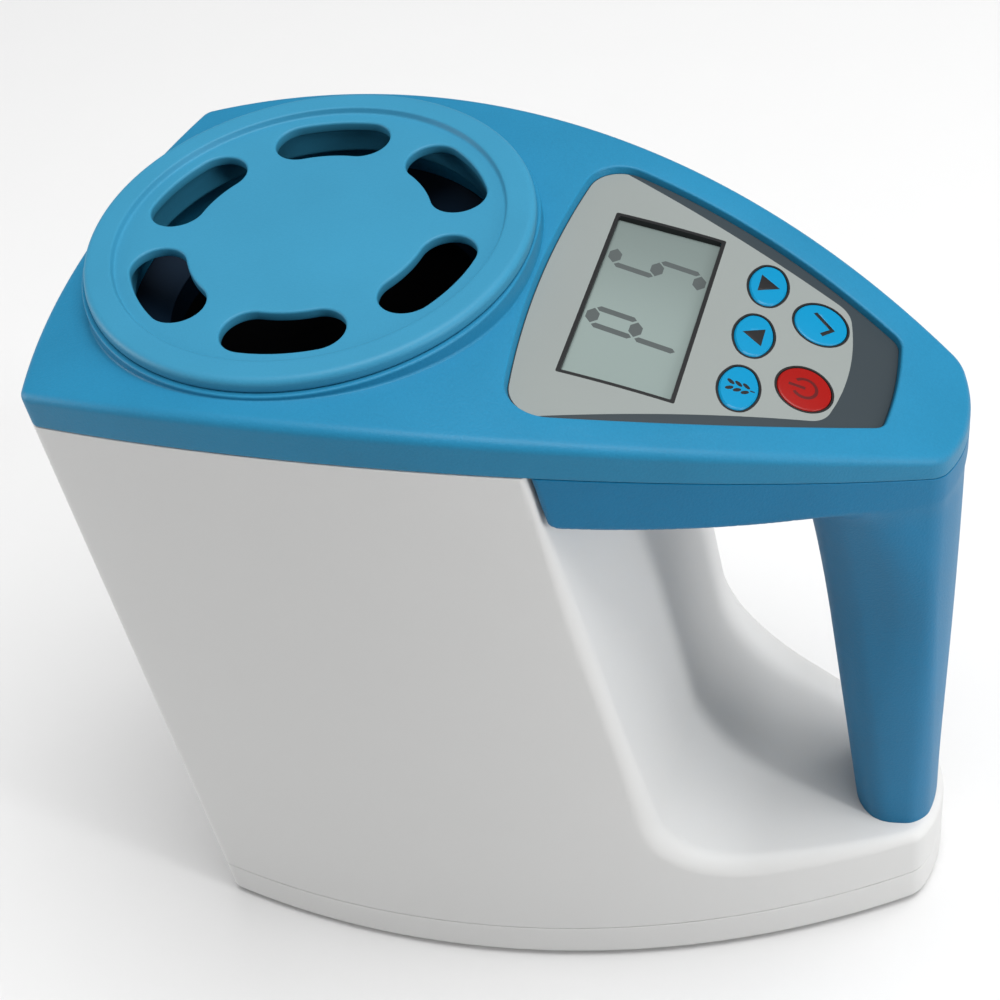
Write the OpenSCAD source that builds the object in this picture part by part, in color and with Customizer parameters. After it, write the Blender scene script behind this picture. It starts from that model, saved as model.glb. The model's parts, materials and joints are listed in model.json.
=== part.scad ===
// Grain moisture meter: a boat-shaped bench instrument with a sample cup under a
// lift-off lid, a tilted key panel and a grip at its handle end.
// +X points to the handle end, +Z up, Y = 0 is the plane of symmetry.
// The origin is the middle of the footprint, on the surface it stands on.

/* [Body outline] */
// Length from the cup end to the handle end
body_len = 210; // [206:1:214]
// Width at the widest place
body_w = 120; // [118:1:123]
// How far the widest place lies from the middle, towards the cup end
wide_x = 42.5; // [40:0.5:45]
// Radius of the two long side arcs
side_r = 258; // [250:1:270]
// Radius of the arc across the cup end
nose_r = 165; // [155:1:175]
// Radius of the arc across the handle end
tail_r = 36; // [34:1:38]
// Rounding of the cup-end corners
nose_round = 4; // [3.5:0.5:5]
// Rounding of the handle-end corners
tail_round = 9; // [8:0.5:10]
// Wall thickness of the housings
wall = 2.6; // [2.4:0.1:2.8]

/* [Heights] */
// Underside of the base tray above the feet's soles
tray_z = 1.2; // [1:0.1:1.5]
// Seam between the base tray and the body shell
seam_z = 15; // [14:0.5:16]
// Highest point of the cover's crown line
crown_z = 210; // [208:0.5:211]
// Place of the crown line along the body
crown_x = -39.5; // [-42:0.5:-37]
// Radius of the cover's arched top
crown_r = 314; // [308:1:320]
// Highest point of the seam between cover and body
eave_z = 199.5; // [198:0.5:200]
// Radius of the arched seam
eave_r = 360; // [350:1:370]

/* [Cup] */
// Place of the cup's axis along the body
cup_x = -44.5; // [-46:0.5:-43]
// Inner radius of the sample cup
cup_r = 40; // [39:0.5:40]
// Height of the cup's floor
cup_z0 = 60; // [59:0.5:62]
// Height of the cup's rim
cup_z1 = 190; // [189:0.5:190]
// Outer radius of the centre electrode
electrode_r = 11; // [10:0.5:12]

/* [Lid] */
// Outer radius of the lid's rim
lid_r = 52.5; // [52:0.5:53]
// Top of the lid's rim
lid_z = 214.5; // [214:0.5:215]
// Inner radius of the raised rim
lid_recess_r = 46; // [45:0.5:47]
// Radius of the ring on which the slots lie
slot_ring_r = 35.3; // [34.5:0.1:35.5]
// Half of a slot's width
slot_half_w = 6.6; // [6:0.1:6.8]
// Half of the angle between the centres of a slot's two ends
slot_half_angle = 12.3; // [11:0.1:13]
// Angle of the first slot from the handle end
slot_turn = 41; // [0:1:59]

/* [Grip] */
// Lean of the grip gap's inner wall from the vertical
gap_lean = 6.3; // [6:0.1:6.6]
// Rounding between the gap's inner wall and its shelf
gap_round = 26; // [24:1:28]
// Height of the shelf under the grip column
shelf_z = 33.5; // [33:0.5:34.5]
// Fall of the shelf towards the handle end
shelf_fall = 4; // [3:0.5:5]
// Lean of the grip column's inner face
column_lean = 5; // [4.5:0.1:5.5]
// Half width of the column at its foot
column_foot_half = 15; // [14:0.5:16]
// Half width of the column under the cover
column_top_half = 24; // [23:0.5:25]

/* [Panel] */
// Depth of the key panel's recess below the cover
recess_depth = 2.2; // [2:0.1:2.4]
// Thickness of the printed overlay
overlay_t = 0.6; // [0.5:0.1:0.7]
// Margin between the body outline and the panel's sides
panel_margin = 9.4; // [9:0.1:10]
// Length of the display window along the body
window_len = 27; // [26:0.5:28]
// Width of the display window
window_w = 55.6; // [54:0.2:56]
// Spacing of the three small keys
key_pitch = 17; // [16.5:0.1:17.5]
// Travel of a key
key_travel = 0.6; // [0.4:0.1:0.6]

/* [Hidden] */

big_fn = 360;
$fn = 64;
eps = 0.01;
slack = 0.3;          // gap round a moving piece
reach = 240;          // longer than any cut needs to be

// colours
shell_white = [0.86, 0.86, 0.86];
blue = [0.19, 0.56, 0.76];
deep_blue = [0.14, 0.42, 0.60];
black_plastic = [0.05, 0.05, 0.06];
light_grey = [0.65, 0.68, 0.67];
key_blue = [0.05, 0.62, 0.87];
key_red = [0.85, 0.15, 0.12];
steel = [0.72, 0.73, 0.75];
board_green = [0.05, 0.35, 0.18];
rubber_black = [0.08, 0.08, 0.08];

// ---- plane geometry ----

function unit(v) = v / norm(v);
// Where two circles meet; side picks one of the two points
function meet(c1, r1, c2, r2, side) =
    let (d = c2 - c1, l = norm(d), a = (r1 * r1 - r2 * r2 + l * l) / (2 * l),
         h = sqrt(max(r1 * r1 - a * a, 0)))
    c1 + a * d / l + side * h * [-d.y, d.x] / l;

side_c = [-wide_x, side_r - body_w / 2];

function bearing(v) = atan2(v.y, v.x);
// Points after the first on an arc cut into n chords
function arc(c, r, a, b, n) =
    [for (i = [1:n]) c + r * [cos(a + (b - a) * i / n), sin(a + (b - a) * i / n)]];
nose_chords = 8;
corner_chords = 5;
side_chords = 32;
tail_chords = 8;

// Closed outline of two side arcs, a nose arc and a tail arc with rounded corners, drawn o inside
// itself; each arc is a run of short chords
module boat(nose_x, n_r, n_round, tail_x, t_r, t_round, arc_r, o) {
    n_c = [nose_x + n_r, 0];
    t_c = [tail_x - t_r, 0];
    k_n = meet(n_c, n_r - n_round, side_c, arc_r - n_round, 1);
    k_t = meet(t_c, t_r - t_round, side_c, arc_r - t_round, -1);
    far = concat(
        [[nose_x + o, 0]],
        arc(n_c, n_r - o, -180, bearing(k_n - n_c), nose_chords),
        arc(k_n, n_round - o, bearing(k_n - n_c), bearing(k_n - side_c), corner_chords),
        arc(side_c, arc_r - o, bearing(k_n - side_c), bearing(k_t - side_c), side_chords),
        arc(k_t, t_round - o, bearing(k_t - side_c), bearing(k_t - t_c), corner_chords),
        arc(t_c, t_r - o, bearing(k_t - t_c), 0, tail_chords));
    polygon(concat(far, [for (i = [len(far) - 2:-1:1]) [far[i].x, -far[i].y]]));
}

module outline(o = 0) {
    boat(-body_len / 2, nose_r, nose_round, body_len / 2, tail_r, tail_round, side_r, o);
}

panel_x0 = 8.6;
panel_x1 = 88.9;

module panel_outline(o = 0) {
    boat(panel_x0, 200, 9, panel_x1, 100, 5, side_r - panel_margin, o);
}

// Convex polygon with every corner rounded by its own radius, from true arcs
module round_poly(points, radii) {
    n = len(points);
    function towards(i, j) = unit(points[j] - points[i]);
    half = [for (i = [0:n - 1]) acos(towards(i, (i + 1) % n) * towards(i, (i + n - 1) % n)) / 2];
    polygon([for (i = [0:n - 1]) each [
        points[i] + towards(i, (i + n - 1) % n) * radii[i] / tan(half[i]),
        points[i] + towards(i, (i + 1) % n) * radii[i] / tan(half[i])]]);
    for (i = [0:n - 1])
        if (radii[i] > 0)
            translate(points[i] + unit(towards(i, (i + 1) % n) + towards(i, (i + n - 1) % n))
                * radii[i] / sin(half[i]))
                circle(r = radii[i]);
}

// ---- side-view geometry, drawn in X and Z ----

module from_side(width = reach) {
    rotate([90, 0, 0]) linear_extrude(width, center = true) children();
}

// Everything below an arch whose top is at z on the crown line
module below_arch(z, r) {
    intersection() {
        translate([crown_x, z - r]) circle(r = r, $fn = big_fn);
        translate([-reach / 2, -20]) square([reach, reach]);
    }
}

function crown_at(x) = crown_z - crown_r + sqrt(crown_r * crown_r - pow(x - crown_x, 2));

// The grip gap's wall leans through the first point; the shelf falls through the second
wall_top = [19.2, 194];
shelf_point = [92, shelf_z];

// Region cut out of the body for the grip, grown by o
module gap_region(o = 0) {
    w_dir = [sin(gap_lean), -cos(gap_lean)];
    w_out = [-cos(gap_lean), -sin(gap_lean)];
    s_dir = [cos(shelf_fall), -sin(shelf_fall)];
    s_out = [-sin(shelf_fall), -cos(shelf_fall)];
    w0 = wall_top + w_out * o;
    s0 = shelf_point + s_out * o;
    // corner where the two lines cross
    t = ((s0.x - w0.x) * s_dir.y - (s0.y - w0.y) * s_dir.x) / (w_dir.x * s_dir.y - w_dir.y * s_dir.x);
    corner = w0 + w_dir * t;
    round_poly([corner, corner + s_dir * 120, [200, 260], w0 - w_dir * 66], [gap_round + o, 0, 0, 0]);
}

arm_corner = [23.9, 179.1];
arm_end = [75.6, 170];
arm_fall = atan2(arm_corner.y - arm_end.y, arm_end.x - arm_corner.x);
column_foot_x = 82.1;

function column_x(z) = column_foot_x - (z - shelf_z) * tan(column_lean);

// The beam under the cover, o inside itself
module arm_region(o = 0) {
    u = [cos(arm_fall), -sin(arm_fall)];
    up = [sin(arm_fall), cos(arm_fall)];
    w_dir = [sin(gap_lean), -cos(gap_lean)];
    w_in = [cos(gap_lean), sin(gap_lean)];
    a0 = wall_top + w_in * (o + 0.1);
    b0 = arm_corner + up * o;
    t = ((b0.x - a0.x) * u.y - (b0.y - a0.y) * u.x) / (w_dir.x * u.y - w_dir.y * u.x);
    corner = a0 + w_dir * t;
    round_poly([corner, corner + u * 130, [160, 260], a0 - w_dir * 66], [o > 0 ? 1 : 4, 0, 0, 0]);
}

// The upright column, o inside itself, standing on the shelf
module column_region(o = 0) {
    z_hi = 185;
    foot = shelf_z - (column_foot_x - shelf_point.x) * tan(shelf_fall);
    polygon([
        [column_x(foot) + o / cos(column_lean), foot + 0.05],
        [130, foot + 0.05 - (130 - column_foot_x) * tan(shelf_fall)],
        [130, z_hi],
        [column_x(z_hi) + o / cos(column_lean), z_hi]]);
}

// Round fillet between the arm's underside and the column
module armpit() {
    r = 9;
    u = [cos(arm_fall), -sin(arm_fall)];
    v = [sin(column_lean), -cos(column_lean)];
    a = arm_corner;
    b = [column_foot_x, shelf_z];
    t = ((b.x - a.x) * v.y - (b.y - a.y) * v.x) / (u.x * v.y - u.y * v.x);
    p = a + u * t;
    half = acos(-u * v) / 2;
    reach_r = r / tan(half);
    c = p + unit(v - u) * r / sin(half);
    difference() {
        polygon([p - u * reach_r, p + [2, 2], p + v * reach_r, p + v * reach_r + [2, 0],
            p + [6, 6], p - u * reach_r + [0, 2]]);
        translate(c) circle(r = r);
    }
    polygon([p - u * reach_r, p, p - u * reach_r + [0, 2]]);
}

// ---- places on the arched cover ----

// Children stand at x on the arch, depth below it, with their own z pointing out of it
module on_crown(x, depth = 0) {
    a = asin((x - crown_x) / crown_r);
    translate([crown_x, 0, crown_z - crown_r]) rotate([0, a, 0])
        translate([0, 0, crown_r - depth]) children();
}

module plate(len, w, t) {
    translate([-len / 2, -w / 2, -t]) cube([len, w, t]);
}

module cup_axis() {
    translate([cup_x, 0, 0]) children();
}

module ring(r_out, r_in, z0, z1) {
    translate([0, 0, z0]) difference() {
        cylinder(r = r_out, h = z1 - z0);
        translate([0, 0, -1]) cylinder(r = r_in, h = z1 - z0 + 2);
    }
}

// Screw standing on its head at z0: head below, shank of length h above
module screw(r, h, head_r, head_h) {
    cylinder(r = r, h = h);
    difference() {
        translate([0, 0, -head_h]) cylinder(r = head_r, h = head_h);
        translate([-head_r * 0.7, -r * 0.25, -head_h - eps]) cube([head_r * 1.4, r * 0.5, head_h * 0.4]);
        translate([-r * 0.25, -head_r * 0.7, -head_h - eps]) cube([r * 0.5, head_r * 1.4, head_h * 0.4]);
    }
}

// ---- base ----

tray_floor = 2.6;
foot_spots = [[-76, -37], [-76, 37], [80, -13], [80, 13]];
foot_r = 6;
base_screw_spots = [[-91, -43], [-91, 43], [58, -29.5], [58, 29.5]];
door_x0 = -51;
door_x1 = 13;
door_y0 = -11;
door_bay_y = 51;
door_t = 2;
door_tongue = 1.2;

module base_screws_at() {
    for (p = base_screw_spots) translate([p.x, p.y, 0]) children();
}

// Space of the battery door, grown by g; the part beyond the outline is trimmed by its user
module door_space(g = 0) {
    z0 = tray_z + 0.2;
    translate([door_x0 - g, door_y0 - g, z0 - (g > 0 ? 5 : 0)])
        cube([door_x1 - door_x0 + 2 * g, 90, door_t + g + (g > 0 ? 5 : 0)]);
    translate([door_x0 - door_tongue - g, door_y0 - g, z0 + 0.6 - g])
        cube([door_x1 - door_x0 + 2 * door_tongue + 2 * g, 90, 0.8 + 2 * g]);
}

module base_tray() {
    color(shell_white) difference() {
        union() {
            difference() {
                translate([0, 0, tray_z]) linear_extrude(seam_z - tray_z) outline();
                translate([0, 0, tray_z + tray_floor]) linear_extrude(seam_z) outline(wall);
            }
            base_screws_at() translate([0, 0, tray_z + 1]) cylinder(r = 5, h = seam_z - tray_z - 1);
        }
        // shadow step round the bottom edge
        translate([0, 0, tray_z - 1]) linear_extrude(2.4) difference() {
            square([2 * reach, 2 * reach], center = true);
            outline(0.8);
        }
        for (p = foot_spots) translate([p.x, p.y, 0]) cylinder(r = foot_r, h = 2);
        base_screws_at() {
            cylinder(r = 1.5, h = 30);
            cylinder(r = 3.4, h = 6);
        }
        door_space(slack);
        // way through the floor to the cells
        translate([door_x0, door_y0, 0]) cube([door_x1 - door_x0, door_bay_y - door_y0, seam_z / 2]);
    }
}

module foot_pads() {
    color(rubber_black) for (p = foot_spots) translate([p.x, p.y, 0]) {
        cylinder(r1 = foot_r - 0.8, r2 = foot_r, h = 0.8);
        translate([0, 0, 0.8]) cylinder(r = foot_r, h = 1.2);
    }
}

module battery_door() {
    color(shell_white) difference() {
        intersection() {
            door_space();
            translate([0, 0, -5]) linear_extrude(20) outline(0.8);
        }
        // thumb ridges at the outer end
        for (i = [0:3]) translate([-39, 40 + i * 3, tray_z]) cube([40, 1.2, 0.7]);
    }
}

module base_screws() {
    color(steel) base_screws_at() translate([0, 0, 6]) screw(1.5, 16, 3, 2);
}

// ---- body ----

cover_tab_spots = [[-84, -46.5], [-84, 46.5], [6, -43.5], [6, 43.5]];
tab_z = 180;
tab_t = 3;

module cover_tabs_at() {
    for (p = cover_tab_spots) translate([p.x, p.y, 0]) children();
}

grip_screw_spots = [89, 98];

module body_shell() {
    color(shell_white) difference() {
        union() {
            difference() {
                intersection() {
                    translate([0, 0, seam_z]) linear_extrude(reach) outline();
                    from_side() below_arch(eave_z, eave_r);
                }
                difference() {
                    translate([0, 0, seam_z - 1]) linear_extrude(reach) outline(wall);
                    from_side() gap_region(wall);
                }
            }
            // tabs that carry the cover
            intersection() {
                for (p = cover_tab_spots)
                    translate([p.x - 6, p.y > 0 ? p.y - 6 : p.y - 24, tab_z]) cube([12, 30, tab_t]);
                translate([0, 0, tab_z - 1]) linear_extrude(20) outline(wall / 2);
            }
            // posts that take the base screws, each with a rib to the wall
            intersection() {
                for (p = base_screw_spots) {
                    translate([p.x, p.y, seam_z]) cylinder(r = 4.5, h = 12);
                    translate([p.x - 1, p.y > 0 ? p.y : p.y - 20, seam_z]) cube([2, 20, 12]);
                }
                translate([0, 0, seam_z]) linear_extrude(20) outline(wall / 2);
            }
        }
        from_side() gap_region();
        // wiring notch into the arm
        translate([8, -38, 184.5]) cube([24, 76, 40]);
        cover_tabs_at() translate([0, 0, tab_z - 1]) cylinder(r = 1.6, h = 10);
        base_screws_at() translate([0, 0, seam_z - 1]) cylinder(r = 1.5, h = 10);
        for (x = grip_screw_spots) translate([x, 0, 10]) cylinder(r = 2.1, h = 40);
    }
}

// ---- cover ----

collar_r = 53.6;
collar_z = 211;
throat_r = 45.2;
neck_t = 2.2;
neck_z = 198;
panel_floor_t = 2.4;
panel_floor_wall = 2;
lcd_x = 33.65;
window_depth = 1.75;
window_t = 0.8;
view_len = 25;
view_w = 53.5;
small_key_x = 58.1;
round_key_x = 71.1;
round_key_y = 10.6;
key_flange = 1.1;
key_proud = 0.3;

// Key places: distance along the body, distance across it, true for the round kind
key_spots = [
    ["key_down", small_key_x, key_pitch, false],
    ["key_up", small_key_x, 0, false],
    ["key_mode", small_key_x, -key_pitch, false],
    ["key_ok", round_key_x, round_key_y, true],
    ["key_power", round_key_x, -round_key_y, true]];

// Oval of four true arcs, grown by g
module oval(g) {
    a = 4.6;
    b = 6.8;
    end_r = 3.5;
    flank_r = (pow(a, 2) + pow(b - end_r, 2) - pow(end_r, 2)) / (2 * (a - end_r));
    flank_c = flank_r - a;
    touch_y = flank_r * (b - end_r) / norm([flank_c, b - end_r]);
    intersection() {
        translate([-flank_c, 0]) circle(r = flank_r + g);
        translate([flank_c, 0]) circle(r = flank_r + g);
        translate([-reach / 2, -touch_y]) square([reach, 2 * touch_y]);
    }
    for (s = [-1, 1]) translate([0, s * (b - end_r)]) circle(r = end_r + g);
}

module key_shape(is_round, g) {
    if (is_round) circle(r = 6.4 + g);
    else oval(g);
}

module at_key(k, depth) {
    on_crown(k[1], depth) translate([0, k[2], 0]) children();
}

module key_holes(g, depth, h) {
    for (k = key_spots) at_key(k, depth) linear_extrude(h) key_shape(k[3], g);
}

module window_plate(g = 0) {
    on_crown(lcd_x, window_depth - g) plate(window_len + 2 * g, window_w + 2 * g, window_t + g);
}

// Solid between two arches of the cover, depth0 and depth1 below its top
module crown_layer(depth0, depth1) {
    from_side() difference() {
        below_arch(crown_z - depth0, crown_r - depth0);
        below_arch(crown_z - depth1, crown_r - depth1);
    }
}

module top_cover() {
    floor_depth = recess_depth + panel_floor_t;
    color(blue) difference() {
        union() {
            difference() {
                intersection() {
                    linear_extrude(reach) outline();
                    from_side() difference() {
                        below_arch(crown_z, crown_r);
                        below_arch(eave_z, eave_r);
                    }
                }
                intersection() {
                    linear_extrude(reach) outline(wall);
                    from_side() below_arch(crown_z - wall, crown_r - wall);
                }
            }
            cup_axis() ring(collar_r, throat_r - 1, crown_at(-105), collar_z);
            cup_axis() ring(throat_r + neck_t, throat_r - 1, neck_z, collar_z);
            intersection() {
                linear_extrude(reach) panel_outline(-panel_floor_wall);
                crown_layer(1, floor_depth);
            }
            intersection() {
                cover_tabs_at() translate([0, 0, tab_z + tab_t]) cylinder(r = 4, h = 40);
                from_side() below_arch(crown_z - 1, crown_r - 1);
            }
        }
        cup_axis() translate([0, 0, neck_z - 5]) cylinder(r = throat_r, h = 40);
        intersection() {
            linear_extrude(reach) panel_outline();
            crown_layer(-5, recess_depth);
        }
        on_crown(lcd_x, 8) translate([-view_len / 2, -view_w / 2, 0]) cube([view_len, view_w, 12]);
        window_plate(0.05);
        key_holes(0.2, 8, 12);
        cover_tabs_at() translate([0, 0, tab_z]) cylinder(r = 1.5, h = 18);
    }
}

module throat_funnel() {
    color(deep_blue) cup_axis() rotate_extrude(convexity = 4) polygon([
        [throat_r - 0.2, neck_z - 0.05], [throat_r + neck_t, neck_z - 0.05],
        [throat_r + neck_t, neck_z - 2.5], [cup_r - 0.6, cup_z1 + 1.5], [cup_r - 0.6, cup_z1 - 4],
        [cup_r - 2.2, cup_z1 - 4], [cup_r - 2.2, cup_z1 + 2.4]]);
}

module cover_screws() {
    color(steel) cover_tabs_at() translate([0, 0, tab_z]) screw(1.5, 12, 3, 2);
}

// ---- lid ----

disc_drop = 1.5;
disc_t = 2.6;
skirt_r = 44.6;
skirt_t = 1.8;
skirt_drop = 11;

// One bean-shaped slot about the x axis
module slot() {
    rotate(-slot_half_angle) rotate_extrude(angle = 2 * slot_half_angle, $fn = 128)
        translate([slot_ring_r - slot_half_w, 0]) square([2 * slot_half_w, 20]);
    for (s = [-1, 1]) rotate(s * slot_half_angle) translate([slot_ring_r, 0, 0])
        cylinder(r = slot_half_w, h = 20);
}

module lid() {
    color(blue) cup_axis() difference() {
        rotate_extrude($fn = 128) polygon([
            [0, lid_z - disc_drop - disc_t], [skirt_r - skirt_t, lid_z - disc_drop - disc_t],
            [skirt_r - skirt_t, lid_z - skirt_drop], [skirt_r, lid_z - skirt_drop],
            [skirt_r, collar_z + 0.05], [lid_r, collar_z + 0.05],
            [lid_r, lid_z - 1.2], [lid_r - 1.2, lid_z], [lid_recess_r, lid_z],
            [lid_recess_r - 0.6, lid_z - disc_drop], [0, lid_z - disc_drop]]);
        for (i = [0:5]) rotate(slot_turn + 60 * i) translate([0, 0, lid_z - 12]) slot();
    }
}

// ---- grip ----

module grip() {
    grip_wall = 3;
    taper_z = 20; // where the column's narrow foot starts
    spread_z = 165; // where the column has its full width
    hollow_z = 60; // the foot below this is solid
    notch_x = 8;
    notch_z = 184.5;
    notch_l = 18;
    notch_w = 76;
    color(deep_blue) difference() {
        intersection() {
            translate([0, 0, 10]) linear_extrude(reach) outline(0.05);
            union() {
                from_side() intersection() {
                    arm_region();
                    below_arch(eave_z - 0.05, eave_r);
                }
                intersection() {
                    from_side() union() {
                        intersection() {
                            column_region();
                            below_arch(eave_z - 0.05, eave_r);
                        }
                        armpit();
                    }
                    // the column narrows to its foot
                    rotate([90, 0, 90]) linear_extrude(reach) polygon([
                        [-column_foot_half, taper_z], [column_foot_half, taper_z],
                        [column_top_half, spread_z], [column_top_half, reach],
                        [-column_top_half, reach], [-column_top_half, spread_z]]);
                }
            }
        }
        // hollow of the arm, open to the cover
        intersection() {
            linear_extrude(reach) outline(grip_wall);
            from_side() arm_region(grip_wall);
            translate([0, -reach / 2, 0]) cube([column_x(170) + 8, reach, reach]);
        }
        // hollow of the column above its solid foot
        intersection() {
            translate([0, 0, hollow_z]) linear_extrude(reach) outline(grip_wall);
            from_side() column_region(grip_wall);
            translate([0, -column_foot_half + grip_wall, hollow_z])
                cube([reach, 2 * (column_foot_half - grip_wall), reach]);
        }
        // wiring notch into the body
        translate([notch_x, -notch_w / 2, notch_z]) cube([notch_l, notch_w, reach]);
        for (x = grip_screw_spots) translate([x, 0, 10]) cylinder(r = 1.8, h = 42);
    }
}

function shelf_at(x) = shelf_z - (x - shelf_point.x) * tan(shelf_fall);

module grip_screws() {
    color(steel) for (x = grip_screw_spots)
        translate([x, 0, shelf_at(x + 3.4) - wall / cos(shelf_fall)]) screw(1.8, 18, 3.4, 2.4);
}

// ---- cup and its sensors ----

module cup_tube() {
    color(black_plastic) cup_axis() ring(cup_r + 2, cup_r, cup_z0 + 1, cup_z1);
}

module cup_gasket() {
    color(rubber_black) cup_axis() ring(cup_r + 2, cup_r, cup_z0, cup_z0 + 1);
}

probe_offset = 26;

module cup_floor() {
    color(black_plastic) cup_axis() difference() {
        translate([0, 0, cup_z0 - 4]) cylinder(r = cup_r + 2, h = 4);
        translate([probe_offset, 0, cup_z0 - 5]) cylinder(r = 2, h = 10);
    }
}

module outer_electrode() {
    color(steel) cup_axis() ring(cup_r + 3.2, cup_r + 2, cup_z0 + 4, cup_z1 - 10);
}

electrode_z1 = 150;

module centre_electrode() {
    color(steel) cup_axis() ring(electrode_r, electrode_r - 2, cup_z0 + 1.5, electrode_z1);
}

module electrode_insulator() {
    color(shell_white) cup_axis() {
        translate([0, 0, cup_z0]) cylinder(r = electrode_r + 3, h = 1.5);
        translate([0, 0, cup_z0 + 1.5]) cylinder(r = electrode_r - 2, h = 5);
    }
}

module electrode_cap() {
    color(black_plastic) cup_axis() rotate_extrude() polygon([
        [0, electrode_z1 - 4], [electrode_r - 2, electrode_z1 - 4], [electrode_r - 2, electrode_z1],
        [electrode_r, electrode_z1], [electrode_r, electrode_z1 + 2], [2.5, electrode_z1 + 10],
        [0, electrode_z1 + 11]]);
}

module temperature_probe() {
    color(steel) translate([cup_x + probe_offset, 0, cup_z0 - 3.5]) {
        cylinder(r = 2, h = 28);
        translate([0, 0, 28]) sphere(r = 2);
    }
}

cell_z = 36;
cell_h = 12.7;
cell_len = 80;

module at_cell_end(side) {
    for (d = [-1, 1]) translate([cup_x + side * (cell_len / 2 - 10) + d * 5, 0, 0]) children();
}

module load_cell() {
    color(steel) difference() {
        translate([cup_x - cell_len / 2, -cell_h / 2, cell_z]) cube([cell_len, cell_h, cell_h]);
        for (d = [-8, 8]) translate([cup_x + d, 0, cell_z + cell_h / 2]) rotate([90, 0, 0])
            cylinder(r = 4.6, h = 20, center = true);
        translate([cup_x - 8, -10, cell_z + cell_h / 2 - 1]) cube([16, 20, 2]);
        for (side = [-1, 1]) at_cell_end(side) cylinder(r = 2.5, h = 80);
    }
}

module load_cell_riser() {
    z0 = tray_z + tray_floor;
    color(steel) difference() {
        translate([cup_x - cell_len / 2, -12, z0]) cube([20, 24, cell_z - z0]);
        translate([cup_x - cell_len / 2 - 1, -8, z0 + 4]) cube([22, 16, 14]);
        at_cell_end(-1) translate([0, 0, cell_z - 10]) cylinder(r = 2.5, h = 12);
    }
}

module cup_bracket() {
    pad_z = cell_z + cell_h;
    color(steel) difference() {
        union() {
            cup_axis() translate([0, 0, pad_z + 3]) cylinder(r = 38, h = cup_z0 - 4 - pad_z - 3);
            translate([cup_x + cell_len / 2 - 20, -10, pad_z]) cube([20, 20, 3.5]);
        }
        at_cell_end(1) translate([0, 0, pad_z - 1]) cylinder(r = 2.5, h = 6);
        translate([cup_x + probe_offset, 0, pad_z]) cylinder(r = 4, h = 20);
    }
}

module load_cell_screws() {
    color(steel) {
        // from above into the riser
        at_cell_end(-1) translate([0, 0, cell_z + cell_h]) mirror([0, 0, 1]) screw(2.5, 20, 4.2, 2.2);
        // from below into the cup bracket
        at_cell_end(1) translate([0, 0, cell_z]) screw(2.5, 16, 4.2, 2.2);
    }
}

// ---- electronics ----

board_x = 6;
board_t = 1.6;
board_z0 = 88;
board_z1 = 172;
board_half_w = 38;

module board_spots() {
    for (y = [-1, 1], z = [board_z0 + 5, board_z1 - 5])
        translate([board_x, y * (board_half_w - 5), z]) rotate([0, 90, 0]) children();
}

module main_board() {
    color(board_green) difference() {
        translate([board_x, -board_half_w, board_z0])
            cube([board_t, 2 * board_half_w, board_z1 - board_z0]);
        board_spots() translate([0, 0, -1]) cylinder(r = 1.5, h = 5);
    }
}

module board_chips() {
    color(black_plastic) {
        translate([board_x + board_t, -8, 120]) cube([1.6, 14, 14]);
        translate([board_x + board_t, 14, 124]) cube([1.8, 8, 5]);
        translate([board_x + board_t, -28, 128]) cube([2, 6, 12]);
        translate([board_x + board_t, -14, 158]) cube([4, 26, 6]);
    }
}

module board_spacers() {
    color("goldenrod") difference() {
        board_spots() translate([0, 0, board_t]) cylinder(r = 2.8, h = 30);
        board_spots() translate([0, 0, board_t - 1]) cylinder(r = 1.5, h = 7);
        from_side() gap_region(wall);
    }
}

module board_screws() {
    color(steel) board_spots() screw(1.5, board_t + 6, 2.8, 1.8);
}

display_x = 49;
display_depth = 11;

module on_display_board() {
    on_crown(display_x, display_depth) children();
}

module display_board() {
    color(board_green) on_display_board() translate([0, 0, -1.6]) linear_extrude(1.6)
        polygon([[-34, -33], [0, -33], [33, -17], [33, 17], [0, 33], [-34, 33]]);
}

function crown_angle(x) = asin((x - crown_x) / crown_r);

// Height of the switch tops above the display board under the key at x
function switch_h(x) = display_depth - recess_depth - panel_floor_t - slack - key_flange
    - key_travel - slack - crown_r * (1 - cos(crown_angle(x) - crown_angle(display_x)));

module tact_switches() {
    color(black_plastic) on_display_board() for (k = key_spots) {
        h = switch_h(k[1]);
        translate([crown_r * sin(crown_angle(k[1]) - crown_angle(display_x)), k[2], 0]) {
            translate([-3, -3, 0]) cube([6, 6, h - 0.8]);
            cylinder(r = 1.6, h = h);
        }
    }
}

module buzzer() {
    color(black_plastic) on_display_board() translate([-8, 20, -1.6 - 5]) cylinder(r = 6, h = 5);
}

module lcd_glass() {
    color([0.55, 0.62, 0.58]) on_crown(lcd_x, recess_depth + panel_floor_t + 0.4) plate(30, 60, 2);
}

module lcd_holder() {
    color(black_plastic) difference() {
        on_crown(lcd_x, recess_depth + panel_floor_t + 0.45) plate(33, 63, 4.2);
        on_crown(lcd_x, recess_depth + panel_floor_t + 0.4) plate(30, 60, 2);
        on_crown(lcd_x, 2) plate(26, 54, 20);
    }
}

module display_window() {
    color([0.75, 0.8, 0.8, 0.5]) window_plate();
}

module panel_overlay() {
    color(light_grey) difference() {
        intersection() {
            linear_extrude(reach) panel_outline(0.15);
            crown_layer(recess_depth - overlay_t, recess_depth);
        }
        on_crown(lcd_x, -4) plate(window_len + 0.1, window_w + 0.1, 12);
        key_holes(0.2, 8, 12);
    }
}

module key(name) {
    floor_depth = recess_depth + panel_floor_t;
    cap_h = floor_depth + slack - (recess_depth - overlay_t - key_proud);
    for (k = key_spots) if (k[0] == name) {
        at_key(k, floor_depth + slack) linear_extrude(cap_h) key_shape(k[3], 0);
        at_key(k, floor_depth + slack + key_flange) linear_extrude(key_flange) key_shape(k[3], 0.9);
    }
}

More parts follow.
